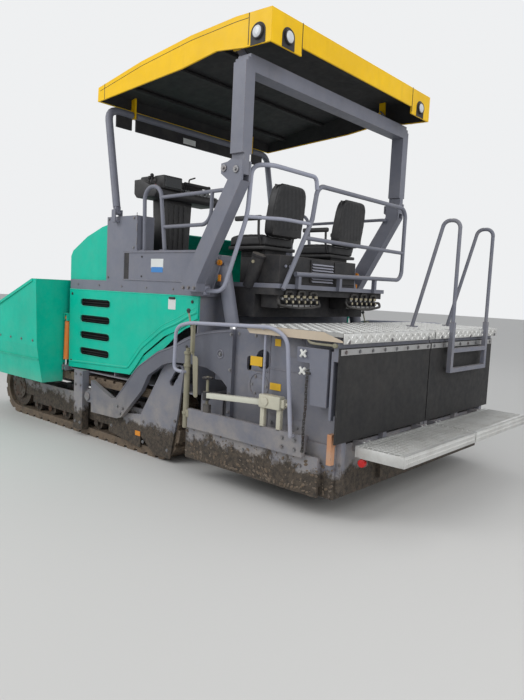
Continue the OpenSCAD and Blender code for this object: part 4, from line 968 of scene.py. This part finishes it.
class PAVER_OT_platform(bpy.types.Operator):
    """Seat cabinet, rear cylinder, rear hoop, lamps, box trims, bolts and blank labels"""
    bl_idname = "paver.platform"
    bl_label = "Platform"

    def execute(self, context):
        self.cabinet(Maker())
        for name, side in SIDES:
            self.box_trim(Maker(side), name)
        self.box_labels(Maker())
        for name, side in SIDES:
            self.lamp_and_bolts(Maker(side), name)
        self.rear_hoop(Maker())
        return {"FINISHED"}

    def rear_hoop(self, make):
        """Tall hoop behind the left seat, from the band up and over to the rear rail."""
        y, foot, rear, top = 1150, -985, -1630, 2706
        make.tube([(foot + 13, y, 1652), (-1190, y, 1652), (-1440, y, 2300), (-1470, y, top),
                   (rear, 1090, top), (rear, 470, top), (rear, 452, 2600)], 19, 90, 16)
        make.tube([(-1438, y, 2288), (rear, 900, 2288), (rear, 518, 2288)], 16, 70, 14)
        make.cube((foot, y - 38, 1614), (foot + 11, y + 38, 1690), edge=3)
        for z in (1626, 1678):
            make.bolt((foot, 1122, z), BACK, 16, 8)
        make.piece("rear_hoop", "chassis", "tube", smooth=True)

    def cabinet(self, make):
        """Cabinet under the seats, its louvres and knobs, and the dark cylinder beside it."""
        rear = -1560
        make.cube((rear, -360, 1744), (-1250, 840, 1995), edge=6)
        for y0, y1 in ((-340, 20), (40, 400)):
            make.cube((rear - 12, y0, 1770), (rear, y1, 1980), edge=4)
        make.piece("seat_cabinet", "chassis", "dark")
        for i in range(7):
            z = 1790 + 26 * i
            make.sheet([(rear - 12, 54, z), (rear - 12, 386, z), (rear - 26, 386, z - 12),
                        (rear - 26, 54, z - 12)], (0, 0, -3))
        for y in (-150, -170, 700, 760):
            make.rod((rear, y, 1900), (rear - 10, y, 1900), 13, 6)
        make.piece("cabinet_louvres", "chassis", "tube")
        make.rod((-1236, 872, 1706), (-1340, 872, 1975), 58, 28, edge=4)
        make.rod((-1340, 872, 1975), (-1349, 872, 1998), 64, 28, edge=4)
        make.piece("rear_cylinder", "chassis", "dark", smooth=True)
        make.rod((-1330, 925, 1930), (-1335, 940, 1928), 14)
        make.piece("rear_cylinder_port", "chassis", "brass", smooth=True)

    def box_trim(self, make, name):
        """Rim, gap strip and bolts of the side box and the air box in front of it."""
        rim = [(170, 1722), (170, 1992), (-895, 1992), (-735, 1722), (170, 1722)]
        for (x0, z0), (x1, z1) in zip(rim, rim[1:]):
            make.tube([(x0, BAND_SIDE + 1, z0), (x1, BAND_SIDE + 1, z1)], 7, 5, 8)
        make.piece("box_rim_" + name, "chassis", "grey", "grey", smooth=True)
        make.cube((92, BAND_SIDE - 1, 1716), (180, BAND_SIDE + 2, 2000))
        for z in (1760, 1950):
            make.rod((-120, BAND_SIDE, z), (-120, BAND_SIDE + 6, z), 9, 12)
        make.piece("box_gap_" + name, "chassis", "dark")
        for z in (2060, 2200, 2310):
            make.cube((-28, BAND_SIDE, z), (-20, BAND_SIDE + 3, z + 70))
        for x, z in ((20, 2330), (440, 2330), (20, 2040), (440, 1740)):
            make.bolt((x, BAND_SIDE, z), OUT, 20, 9)
        make.piece("air_box_bolts_" + name, "chassis", "bolt")

    def box_labels(self, make):
        make.cube((-445, BAND_SIDE, 1842), (-262, BAND_SIDE + 1.5, 1930))
        make.piece("box_blank_label", "chassis", "label_pale")
        make.cube((-440, BAND_SIDE + 0.2, 1802), (-268, BAND_SIDE + 2, 1852))
        make.piece("box_blank_label_band", "chassis", "label_blue")

    def lamp_and_bolts(self, make, name):
        make.rod((-1092, 1098, 1905), (-1092, 1122, 1905), 26, 24, edge=3)
        make.cube((-1110, 1098, 1740), (-1076, 1112, 1800), edge=4)
        make.piece("marker_lamp_" + name, "chassis", "amber", smooth=True)
        # pin of the lift cylinder, then the pins of the roof's knee
        make.rod((-1035, 1098, 1930), (-1035, 1112, 1930), 34, 28, edge=4)
        make.bolt((-1035, 1112, 1930), OUT, 30, 14)
        for x, z in ((-1458, 2645), (-1320, 2665)):
            make.rod((x, LEG_SIDE, z), (x, LEG_SIDE + 12, z), 30, 24, edge=3)
            make.bolt((x, LEG_SIDE + 12, z), OUT, 22, 12)
        for x in (-1005, -935, -865):
            make.bolt((x, LEG_SIDE, 1672), OUT, high=13)
        for x in (-930, -600, -200, 200, 600, 1000):
            make.bolt((x, BAND_SIDE, 1652), OUT, 16, 7)
        make.piece("platform_bolts_" + name, "chassis", "bolt")


class PAVER_OT_valves(bpy.types.Operator):
    """Fittings and hose loops on the two valve blocks behind the platform"""
    bl_idname = "paver.valves"
    bl_label = "Valves"

    def execute(self, context):
        for name, side in SIDES:
            fit, hose, spool = Maker(side), Maker(side), Maker(side)
            x = -1570
            for y in range(300, 781, 90):
                fit.rod((x, y, 1624), (x, y, 1646), 17, 6)
                fit.rod((-1585, y, 1590), (-1589, y, 1590), 14, 6)
                spool.cube((-1548, y - 34, 1534), (-1536, y + 34, 1562), edge=3)
                spool.rod((-1558, y + 20, 1616), (-1540, y + 20, 1616), 15, 6)
            for y, top in ((300, 1676), (480, 1684), (660, 1676)):
                hose.tube([(x, y, 1640), (x - 2, y, top), (x - 4, y + 90, top),
                           (x, y + 90, 1640)], 13, 40)
            hose.tube([(-1545, 820, 1600), (-1568, 846, 1604), (-1582, 850, 1560),
                       (-1584, 640, 1532), (-1584, 420, 1532), (-1576, 236, 1552),
                       (-1548, 232, 1600)], 13, 60)
            fit.piece("valve_fittings_" + name, "chassis", "brass")
            spool.piece("valve_spools_" + name, "chassis", "galvanised")
            hose.piece("valve_hoses_" + name, "chassis", "hose", smooth=True)
        return {"FINISHED"}


class PAVER_OT_end_gates(bpy.types.Operator):
    """Height setting gear, hand rail, cover plate, star knobs and chain of the two end gates"""
    bl_idname = "paver.end_gates"
    bl_label = "End gates"

    def execute(self, context):
        for name, side in SIDES:
            make, body = Maker(side), "extension_" + name
            for part in (self.rail, self.gear, self.setting_bar, self.cover, self.star_knobs,
                         self.chain, self.paddle, self.bolts, self.plate):
                part(make, name, body)
        return {"FINISHED"}

    def rail(self, make, name, body):
        y, front, rear = 1424, -1009, -2236
        make.tube([(front, y, 940), (-893, y, 946), (-903, y, 1322), (-1060, y, 1372),
                   (-2019, y, 1404), (-2165, y, 1330), (rear, y, 604)], 16, 90, 16)
        make.rod((front, 1365, 940), (front, y + 6, 940), 14)
        make.rod((rear, 1386, 604), (rear, y + 6, 604), 14)
        make.rod((-1902, GEAR_Y, 620), (-1902, GEAR_Y, 1366), 11)
        make.tube([(-1902, GEAR_Y, 1366), (-1902, 1420, 1392)], 9, 5)
        make.piece("gate_hand_rail_" + name, body, "tube", smooth=True)

    def gear(self, make, name, body):
        """Post that sets the gate's height, and the spindle with its hand wheel."""
        post, spindle = -1009, -1273
        make.rod((post, GEAR_Y, 440), (post, GEAR_Y, 1120), 26, 24, edge=4)
        make.rod((post, GEAR_Y, 1120), (post, GEAR_Y, 1150), 17, 16)
        for z in (560, 980, 1090):
            make.rod((post, GEAR_Y, z), (post, GEAR_Y, z + 26), 33, 24, edge=4)
        make.cube((-1062, 1350, 540), (-1003, 1392, 606), edge=5)
        make.rod((spindle, GEAR_Y, 612), (spindle, GEAR_Y, 930), 12, 16)
        make.piece("gate_post_" + name, body, "khaki", smooth=True)
        for z in range(640, 724, 9):
            make.ring((spindle, GEAR_Y, z), (0, 0, 1), 12, 2.4, 16, 6)
        make.rod((spindle, GEAR_Y, 906), (spindle, GEAR_Y, 924), 42, 28, edge=5)
        for a, b in around(6, 40):
            make.ball((spindle + a, GEAR_Y + b, 915), 11)
        make.cube((-1308, GEAR_Y - 19, 608), (-1238, GEAR_Y + 15, 690), edge=5)
        make.rod((-1262, GEAR_Y, 724), (-1262, GEAR_Y, 800), 33, 24, edge=4)
        make.piece("gate_spindle_" + name, body, "dark", smooth=True)

    def setting_bar(self, make, name, body):
        """Bar from the spindle to the gear box, and the box on its two legs."""
        make.outline([(-1236, 741), (-1236, 787), (-1900, 830), (-1900, 784)],
                     GEAR_Y - 23, GEAR_Y + 23, edge=4)
        make.piece("gate_setting_bar_" + name, body, "cream", smooth=True)
        z = 824
        make.cube((-2108, GEAR_Y - 30, 772), (-1892, GEAR_Y + 42, 876), edge=9, segments=3)
        make.cube((-2140, GEAR_Y - 18, 792), (-2108, GEAR_Y + 28, 860), edge=8)
        make.rod((-1960, GEAR_Y + 42, z), (-1960, GEAR_Y + 50, z), 34, 28, edge=3)
        make.rod((-2110, GEAR_Y, z), (-2164, GEAR_Y, z), 15, 16, edge=3)
        for x in (-1935, -2102):
            make.cube((x, GEAR_Y - 17, 610), (x + 42, GEAR_Y + 17, 776), edge=4)
        make.piece("gate_gear_box_" + name, body, "cream_worn", smooth=True)

    def cover(self, make, name, body):
        """Folded cover plate at the rear end, its channel, and the orange end post."""
        rear, inner = -2516, 1284
        make.outline([(-2231, 1280), (rear, 1280), (rear, 859), (-2370, 859), (-2350, 1165),
                      (-2231, 1165)], 1376, GATE_SIDE, edge=2)
        make.cube((rear, inner, 859), (rear + 12, 1378, 1280), edge=2)
        make.cube((-2440, inner, 1170), (-2410, 1378, 1260), edge=2)
        make.cube((-2560, 1346, 770), (-2538, 1384, 1270), edge=3)
        make.cube((-2560, inner, 800), (-2550, 1348, 1240), edge=2)
        make.piece("gate_cover_" + name, body, "grey", "grey")
        make.cube((-2555, 1288, 432), (-2513, 1345, 662), edge=4)
        make.piece("gate_end_post_" + name, body, "rusty_orange")

    def star_knobs(self, make, name, body):
        x, y = -2300, 1404
        for z in (1234, 1105):
            make.rod((x, 1300, z), (x, 1398, z), 10, 16)
            for a, b in around(4, 1, math.pi / 4):
                make.tube([(x, y, z), (x + 21 * a, y, z + 21 * b),
                           (x + 34 * a, y - 2, z + 34 * b)], 9.5, 6, 10)
            make.rod((x, 1392, z), (x, 1416, z), 14, edge=3)
        make.piece("gate_star_knobs_" + name, body, "white_plastic", smooth=True)

    def chain(self, make, name, body):
        """Chain that hangs from the cover: links turned by a quarter, one after the other."""
        make.cube((-2366, 1384, 1084), (-2326, 1402, 1100), edge=3)
        make.cube((-2340, 1386, 496), (-2318, 1402, 514), edge=3)
        top, foot, count, y = 1086, 506, 22, 1398
        pitch = (top - foot) / count
        half = pitch * 0.72
        for i in range(count):
            x = -2344 + 12 * i / count + 3 * math.sin(i * 0.55)
            z = top - (i + 0.5) * pitch
            link = [(-9, 0), (-9, half), (9, half), (9, -half), (-9, -half), (-9, 0)]
            make.tube([(x + a, y, z + b) if i % 2 else (x, y + a, z + b) for a, b in link],
                      3.6, 8, 6, caps=False)
        make.piece("gate_chain_" + name, body, "dark_steel", smooth=True)

    def paddle(self, make, name, body):
        """Flat paddle with its lever and knobs, and the catch above the cover."""
        y = 1396
        make.outline([(-1104, 1160), (-1090, 1160), (-1122, 742), (-1138, 730), (-1158, 730),
                      (-1172, 742), (-1162, 1066), (-1148, 1086), (-1112, 1090)],
                     y - 10, y, edge=3)
        make.tube([(-1098, y + 6, 1100), (-1100, y + 6, 1250), (-1034, y + 4, 1462)], 8, 40)
        make.cube((-1112, 1384, 1120), (-1086, 1418, 1374), edge=4)
        make.piece("gate_paddle_" + name, body, "khaki", smooth=True)
        make.ball((-1030, y + 4, 1476), 19)
        make.rod((-1034, y + 4, 1452), (-1031, y + 4, 1466), 12, 14)
        make.ball((-1013, 1392, 1160), 13)
        make.piece("gate_knobs_" + name, body, "plastic", smooth=True)
        make.cube((-2560, 1380, 1306), (-2400, 1404, 1322), edge=4)
        make.tube([(-2400, 1392, 1314), (-2350, 1392, 1318), (-2330, 1392, 1338)], 10, 30)
        make.rod((-2575, 1372, 1314), (-2575, 1412, 1314), 17, edge=3)
        make.piece("gate_catch_" + name, body, "khaki", smooth=True)

    def bolts(self, make, name, body):
        for x, z in ((-2250, 500), (-2250, 570), (-2130, 500), (-2130, 570)):
            make.bolt((x, GATE_SIDE, z), OUT)
        for x in (-1100, -1400, -1700, -2000, -2290):
            make.bolt((x, 1354, 380), OUT, 22, 10)
        for a, b in around(6, 78):
            make.bolt((PLATE_HUB[0] + a, PLATE_SIDE, PLATE_HUB[1] + b), OUT, 18, 8)
        for x, z in ((-1930, 1330), (-2190, 1330), (-1930, 640), (-2190, 640)):
            make.bolt((x, PLATE_SIDE, z), OUT, 22, 10)
        make.piece("gate_bolts_" + name, body, "bolt")

    def plate(self, make, name, body):
        """Swages, red lamp and, on the left, the blank labels of the side plate."""
        x, z = PLATE_HUB
        make.ring((x, PLATE_SIDE + 1, z), OUT, 100, 5, 40)
        make.rod((x, PLATE_SIDE, z), (x, PLATE_SIDE + 4, z), 60, 32, edge=2)
        make.cube((-1886, PLATE_SIDE - 3, 580), (-1878, PLATE_SIDE + 3, 1370), edge=2)
        for z in (700, 1060):
            make.cube((-2225, PLATE_SIDE, z), (-1900, PLATE_SIDE + 4, z + 12), edge=2)
        for x0, x1, z0, z1 in ((-2225, -2060, 1180, 1330), (-2150, -1990, 640, 740)):
            make.outline([(x0, z0), (x1, z0), (x1, z1), (x0, z1)], PLATE_SIDE, PLATE_SIDE + 3,
                         edge=1)
        make.piece("gate_plate_swages_" + name, body, "grey_dirty", smooth=True)
        make.rod((-1945, PLATE_SIDE, 1352), (-1945, PLATE_SIDE + 10, 1352), 16, edge=3)
        make.piece("gate_red_lamp_" + name, body, "red", smooth=True)
        if name == "left":
            for x0, x1, z0, z1 in ((-2010, -1900, 900, 955), (-1990, -1932, 1250, 1306)):
                make.cube((x0, PLATE_SIDE, z0), (x1, PLATE_SIDE + 5, z1), edge=0.4)
            make.piece("gate_blank_labels", body, "label_yellow")


class PAVER_OT_screed(bpy.types.Operator):
    """Bolts, bosses, labels and crumbs of asphalt on tow arms and base screed"""
    bl_idname = "paver.screed"
    bl_label = "Screed"

    def execute(self, context):
        for name, side in SIDES:
            self.arm(Maker(side), name, body_of("tow_arms"))
            self.side_bolts(Maker(side), name, body_of("screed_base"))
        self.top(Maker(), body_of("screed_base"))
        draw = draws(7)
        for name, side in SIDES:
            self.crumbs(Maker(side), name, draw)
        return {"FINISHED"}

    def arm(self, make, name, body):
        """Bolts along the tow arm, the hub of its pivot and the weld below its top edge."""
        # x, z, width of each bolt
        for x, z, width in ((-1326, 1122, 26), (30, 430, 26), (70, 372, 26), (120, 440, 26),
                            (-1446, 640, 22), (-1446, 800, 22), (-1446, 1000, 22),
                            (-1446, 1300, 22)):
            make.bolt((x, PLATE_SIDE, z), OUT, width)
        make.rod((660, PLATE_SIDE, 460), (660, PLATE_SIDE + 14, 460), 44, 28, edge=4)
        make.piece("arm_bolts_" + name, body, "bolt")
        make.ring((-1326, PLATE_SIDE + 1, 1122), OUT, 34, 6, 32)
        weld = [(150, 514), (-190, 874), (-490, 1048), (-716, 1126), (-1035, 1262),
                (-1240, 1300), (-1460, 1328)]
        make.tube([(x, PLATE_SIDE + 1, z) for x, z in weld], 5, 60, 8)
        make.piece("arm_weld_" + name, body, "grey", "grey", smooth=True)

    def side_bolts(self, make, name, body):
        for x, z in ((-1500, 560), (-1500, 1310), (-1690, 1310), (-1850, 1310), (-1850, 560),
                     (-1690, 560)):
            make.bolt((x, BASE_SIDE, z), OUT, 22, 9)
        for x in (-1510, -1700, -1860):
            make.bolt((x, 1225, 300), OUT, high=10)
        make.piece("base_bolts_" + name, body, "bolt")

    def top(self, make, body):
        """Blank label, bolts on the base screed and the pipe in front of it."""
        make.cube((-1770, BASE_SIDE, 1062), (-1640, BASE_SIDE + 1, 1140))
        make.piece("base_blank_label", body, "label_yellow")
        for x in (-1560, -1800, -1960):
            for y in (-900, -450, 0, 450, 900):
                make.bolt((x, y, 1350), (0, 0, 1), high=10)
        pipe = [(1100, 600), (900, 640), (0, 650), (-900, 640), (-1100, 600)]
        make.tube([(-1500, y, z) for y, z in pipe], 18, 80)
        make.piece("base_top_bolts", body, "bolt")

    def crumbs(self, make, name, draw):
        """Lumps of asphalt that cling to the foot of the end gate."""
        foot = 172
        # ends, face and top of each strip that they cling to
        for x0, x1, y, top in ((-2450, -1000, 1355, 460), (-2560, -2460, 1303, 430)):
            for _ in range(int((x1 - x0) / 6)):
                along, up, size = next(draw), next(draw) ** 2, next(draw) ** 2
                centre = make.at((x0 + along * (x1 - x0), y, foot + 22 + up * (top - foot - 40)))
                bmesh.ops.create_icosphere(
                    make.bm, subdivisions=1, radius=(4 + 10 * size) * MM,
                    matrix=Matrix.Translation(centre) @ Matrix.Rotation(along * 6.0, 4, "Y")
                    @ Matrix.Diagonal((1.6, 0.45, 0.9, 1.0)))
        make.piece("gate_crumbs_" + name, "extension_" + name, "track")


class PAVER_OT_walkways(bpy.types.Operator):
    """Studs, folded rear lip and end fascia of the upper walkways, and the strips over the mats"""
    bl_idname = "paver.walkways"
    bl_label = "Walkways"

    def execute(self, context):
        for name, side in SIDES:
            make, body = Maker(side), "extension_" + name
            self.tread(make, name, body)
            make.outline([(-1700, 1404), (-2470, 1404), (WALK_REAR, 1352), (WALK_REAR, 1340),
                          (-1760, 1340)], WALK_SIDE, WALK_SIDE + 4, edge=1)
            make.piece("walkway_fascia_" + name, body, "sand")
            make.cube((MAT_REAR - 7, 12, 1246), (MAT_REAR, 1380, 1290), edge=2)
            make.piece("mat_strip_" + name, body, "galvanised")
            for y in range(60, 1381, 180):
                make.bolt((MAT_REAR - 7, y, 1268), BACK, 22, 9)
            for y in (130, 740, 1340):
                make.bolt((WALK_REAR - 12, y, 1345), BACK, 22, 9)
            make.piece("mat_bolts_" + name, body, "bolt")
        return {"FINISHED"}

    def tread(self, make, name, body):
        """Raised studs on the plate and on its folded rear lip, turned by turns."""
        pitch = sizes().stud_pitch / MM
        start = 26 + pitch / 2
        for row in range(int(930 / pitch)):
            for col in range(int(1360 / pitch)):
                x = WALK_REAR + 20 + (row + 0.5) * pitch
                self.stud(make, (x, start + col * pitch, WALK_TOP), (row + col) % 2, "Z")
        make.piece("walkway_studs_" + name, body, "alu", smooth=True)
        make.cube((WALK_REAR - 12, 10, 1330), (WALK_REAR, 1398, WALK_TOP), edge=3)
        for col in range(int(1370 / pitch)):
            for row in range(2):
                self.stud(make, (WALK_REAR - 12, start + col * pitch, 1352 + row * 30),
                          (row + col) % 2, "X")
        make.piece("walkway_lip_" + name, body, "alu", smooth=True)

    def stud(self, make, place, odd, axis):
        """Long low stud, turned to one side or the other, standing out along an axis."""
        matrix = Matrix.Translation(make.at(place))
        if axis == "X":
            matrix = matrix @ Matrix.Rotation(math.radians(90), 4, "Y")
        turn = Matrix.Rotation(math.radians(45 if odd else -45), 4, "Z")
        bmesh.ops.create_uvsphere(make.bm, u_segments=8, v_segments=4,
                                  radius=sizes().stud * 0.92,
                                  matrix=matrix @ turn @ Matrix.Diagonal((1.0, 0.36, 0.24, 1.0)))


class PAVER_OT_steps(bpy.types.Operator):
    """Lower steps as open grating in a punched channel frame, in place of the plain plates"""
    bl_idname = "paver.steps"
    bl_label = "Steps"

    def execute(self, context):
        for name, side in SIDES:
            make, body = Maker(side), "step_" + name
            self.channels(make, name, body)
            self.grating(make, name, body)
            x, y, z = -2730, 1176, 468
            make.rod((x, y, z), (x, y + 36, z), 30, 28, edge=4)
            make.piece("step_lamp_" + name, body, "red", smooth=True)
            make.cube((x - 18, y - 10, 440), (x + 18, y, 506), edge=3)
            make.rod((x, y - 6, z), (x, y + 6, z), 33, 28, edge=2)
            make.piece("step_lamp_bracket_" + name, body, "dark", smooth=True)
        return {"FINISHED"}

    def channels(self, make, name, body):
        """Two channels along the step, plates across them, stiffeners and hinge lugs."""
        for x0, x1 in ((STEP_REAR, STEP_REAR + 6), (STEP_FRONT - 6, STEP_FRONT)):
            make.cube((x0, STEP_INNER, STEP_FOOT), (x1, STEP_SIDE, STEP_TOP), edge=1.5)
        for x0, x1 in ((STEP_REAR, STEP_REAR + 35), (STEP_FRONT - 35, STEP_FRONT)):
            for z in (STEP_TOP - 5, STEP_FOOT):
                make.cube((x0, STEP_INNER, z), (x1, STEP_SIDE, z + 5), edge=1.5)
        x0, x1 = STEP_REAR + 6, STEP_FRONT - 6
        for y in (STEP_INNER, STEP_SIDE - 6, 610):
            make.cube((x0, y, STEP_FOOT), (x1, y + 6, STEP_TOP - 6), edge=1)
        for y in (200, 420, 820, 1010):
            make.cube((x0, y, STEP_FOOT + 30), (x1, y + 6, STEP_FOOT + 66))
        for y in (90, 160, 1010, 1080):
            make.cube((STEP_FRONT - 2, y, 574), (-2655, y + 16, 598), edge=2)
        channels = make.piece("step_frame_" + name, body, "alu", smooth=True)
        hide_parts(body)

    def grating(self, make, name, body):
        """Bars both ways between the channels, and holes punched in the rear channel."""
        for x in range(-3034, -2712, 44):
            make.cube((x, STEP_INNER + 6, STEP_TOP - 24), (x + 7, STEP_SIDE - 6, STEP_TOP - 3),
                      edge=1.5, segments=1)
        for y in range(38, 1200, 42):
            make.cube((STEP_REAR + 35, y, STEP_TOP - 20), (STEP_FRONT - 35, y + 9, STEP_TOP + 2),
                      edge=2, segments=1)
        grating = make.piece("step_grating_" + name, body, "alu")
        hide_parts(body)
        for y in range(30, 1200, 26):
            for row in range(2):
                y0, z = y + 12 * row, 532 + 34 * row
                make.rod((STEP_REAR, y0, z), (STEP_REAR - 2.5, y0, z), 9, 12, tip=7)
        make.piece("step_punching_" + name, body, "alu", smooth=True)


class PAVER_OT_undercarriage(bpy.types.Operator):
    """Hub covers, roller caps, pad bolts and reflectors of the tracks and their frames"""
    bl_idname = "paver.undercarriage"
    bl_label = "Undercarriage"

    def execute(self, context):
        for name, side in SIDES:
            make = Maker(side)
            self.hubs(make, name)
            self.pad_bolts(make, name)
            make.cube((-185, 1225, 176), (-105, 1229, 224), edge=1)
            make.piece("side_reflector_" + name, "chassis", "amber")
            for x in (800, 895):
                for z in (150, 300, 560, 680):
                    make.bolt((x, 1286, z), OUT, 24, 11)
            for x, z in ((-230, 330), (-230, 130), (300, 200), (-600, 120), (-700, 420)):
                make.bolt((x, 1225, z), OUT, 24, 10)
            make.piece("column_bolts_" + name, "chassis", "bolt")
        return {"FINISHED"}

    def hubs(self, make, name):
        """Bolted covers on sprocket and idler, and the caps of the seven rollers."""
        y, z = FRAME_SIDE, AXLE_Z
        for x, radius in ((SPROCKET_X, 170), (IDLER_X, 150)):
            make.rod((x, y, z), (x, y + 10, z), radius, 40, edge=4)
            make.rod((x, y + 10, z), (x, y + 16, z), radius * 0.45, 28, edge=3)
            for a, b in around(10, radius * 0.78):
                make.bolt((x + a, y + 8, z + b), OUT, 20, 8)
        z = 161
        for i in range(7):
            x = i * 1910 / 6
            make.rod((x, y, z), (x, y + 9, z), 36, 24, edge=3)
            for a, b in around(3, 24, 0.5):
                make.bolt((x + a, y + 7, z + b), OUT, 12, 7)
        make.piece("track_hubs_" + name, "chassis", "track_steel")

    def pad_bolts(self, make, name):
        """Four bolts in the groove of each shoe, stepping round the loop as the shoes do."""
        radius, shoes = 305.0, 44
        run, arc = IDLER_X - SPROCKET_X, math.pi * radius
        lap = 2 * run + 2 * arc
        for shoe in range(1, shoes + 1):
            s = shoe * lap / shoes % lap
            if s < run:
                x, turn = SPROCKET_X + s, 0.0
            elif s < run + arc:
                x, turn = IDLER_X, (s - run) / radius
            elif s < 2 * run + arc:
                x, turn = IDLER_X - (s - run - arc), math.pi
            else:
                x, turn = SPROCKET_X, math.pi + (s - 2 * run - arc) / radius
            out = Vector((math.sin(turn), 0, -math.cos(turn)))
            for y in (935, 990, 1105, 1160):
                foot = Vector((x, y, AXLE_Z)) + out * radius
                make.rod(foot, foot + out * 12, 12, 6)
        make.piece("track_bolts_" + name, "chassis", "track_steel")


class PAVER_OT_front(bpy.types.Operator):
    """Latches and grille of the hood, hopper trims and push beam bolts"""
    bl_idname = "paver.front"
    bl_label = "Hood and hopper"

    def execute(self, context):
        make = Maker()
        for y in (-820, 820):
            make.cube((482, y - 45, 2200), (474, y + 45, 2230), edge=3)
        for i in range(9):
            z = 1756 + 22 * i
            make.cube((1190, -520, z), (1196, 520, z + 8), edge=1)
        for z in (1740, 1950):
            make.cube((1188, -540, z), (1193, 540, z + 12), edge=1)
        make.piece("hood_grille", "chassis", "dark")
        for name, side in SIDES:
            make = Maker(side)
            for x in range(1330, 2840, 250):
                make.bolt((x, 1563, 1010), OUT, 20, 8)
            make.piece("wing_bolts_" + name, "wing_" + name, "bolt")
            make.cube((2958, 1100, 790), (2966, 1556, 960), edge=2)
            make.piece("wing_flap_" + name, "wing_" + name, "rubber")
        make = Maker()
        for y in (-600, -300, 300, 600):
            make.bolt((2906, y, 460), (1, 0, 0))
        make.piece("push_beam_bolts", body_of("roller_beam"), "bolt")
        return {"FINISHED"}


class PAVER_PT_panel(bpy.types.Panel):
    """Sidebar panel that lists the steps"""
    bl_label = "Paver"
    bl_idname = "PAVER_PT_panel"
    bl_space_type = "VIEW_3D"
    bl_region_type = "UI"
    bl_category = "Paver"

    def draw(self, context):
        for step in STEPS:
            self.layout.operator(step.bl_idname)


STEPS = (PAVER_OT_stage, PAVER_OT_paint, PAVER_OT_roof, PAVER_OT_doors, PAVER_OT_seats,
         PAVER_OT_console, PAVER_OT_platform, PAVER_OT_valves, PAVER_OT_end_gates,
         PAVER_OT_screed, PAVER_OT_walkways, PAVER_OT_steps, PAVER_OT_undercarriage,
         PAVER_OT_front)
CLASSES = (PaverColours, PaverSizes, *STEPS, PAVER_PT_panel)


def register():
    for cls in CLASSES:
        bpy.utils.register_class(cls)
    bpy.types.Scene.paver_colours = PointerProperty(type=PaverColours)
    bpy.types.Scene.paver_sizes = PointerProperty(type=PaverSizes)


def unregister():
    del bpy.types.Scene.paver_sizes
    del bpy.types.Scene.paver_colours
    for cls in reversed(CLASSES):
        bpy.utils.unregister_class(cls)


def main():
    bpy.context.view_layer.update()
    register()
    for step in STEPS:
        getattr(bpy.ops.paver, step.bl_idname.split(".")[1])()


if __name__ == "__main__":
    main()
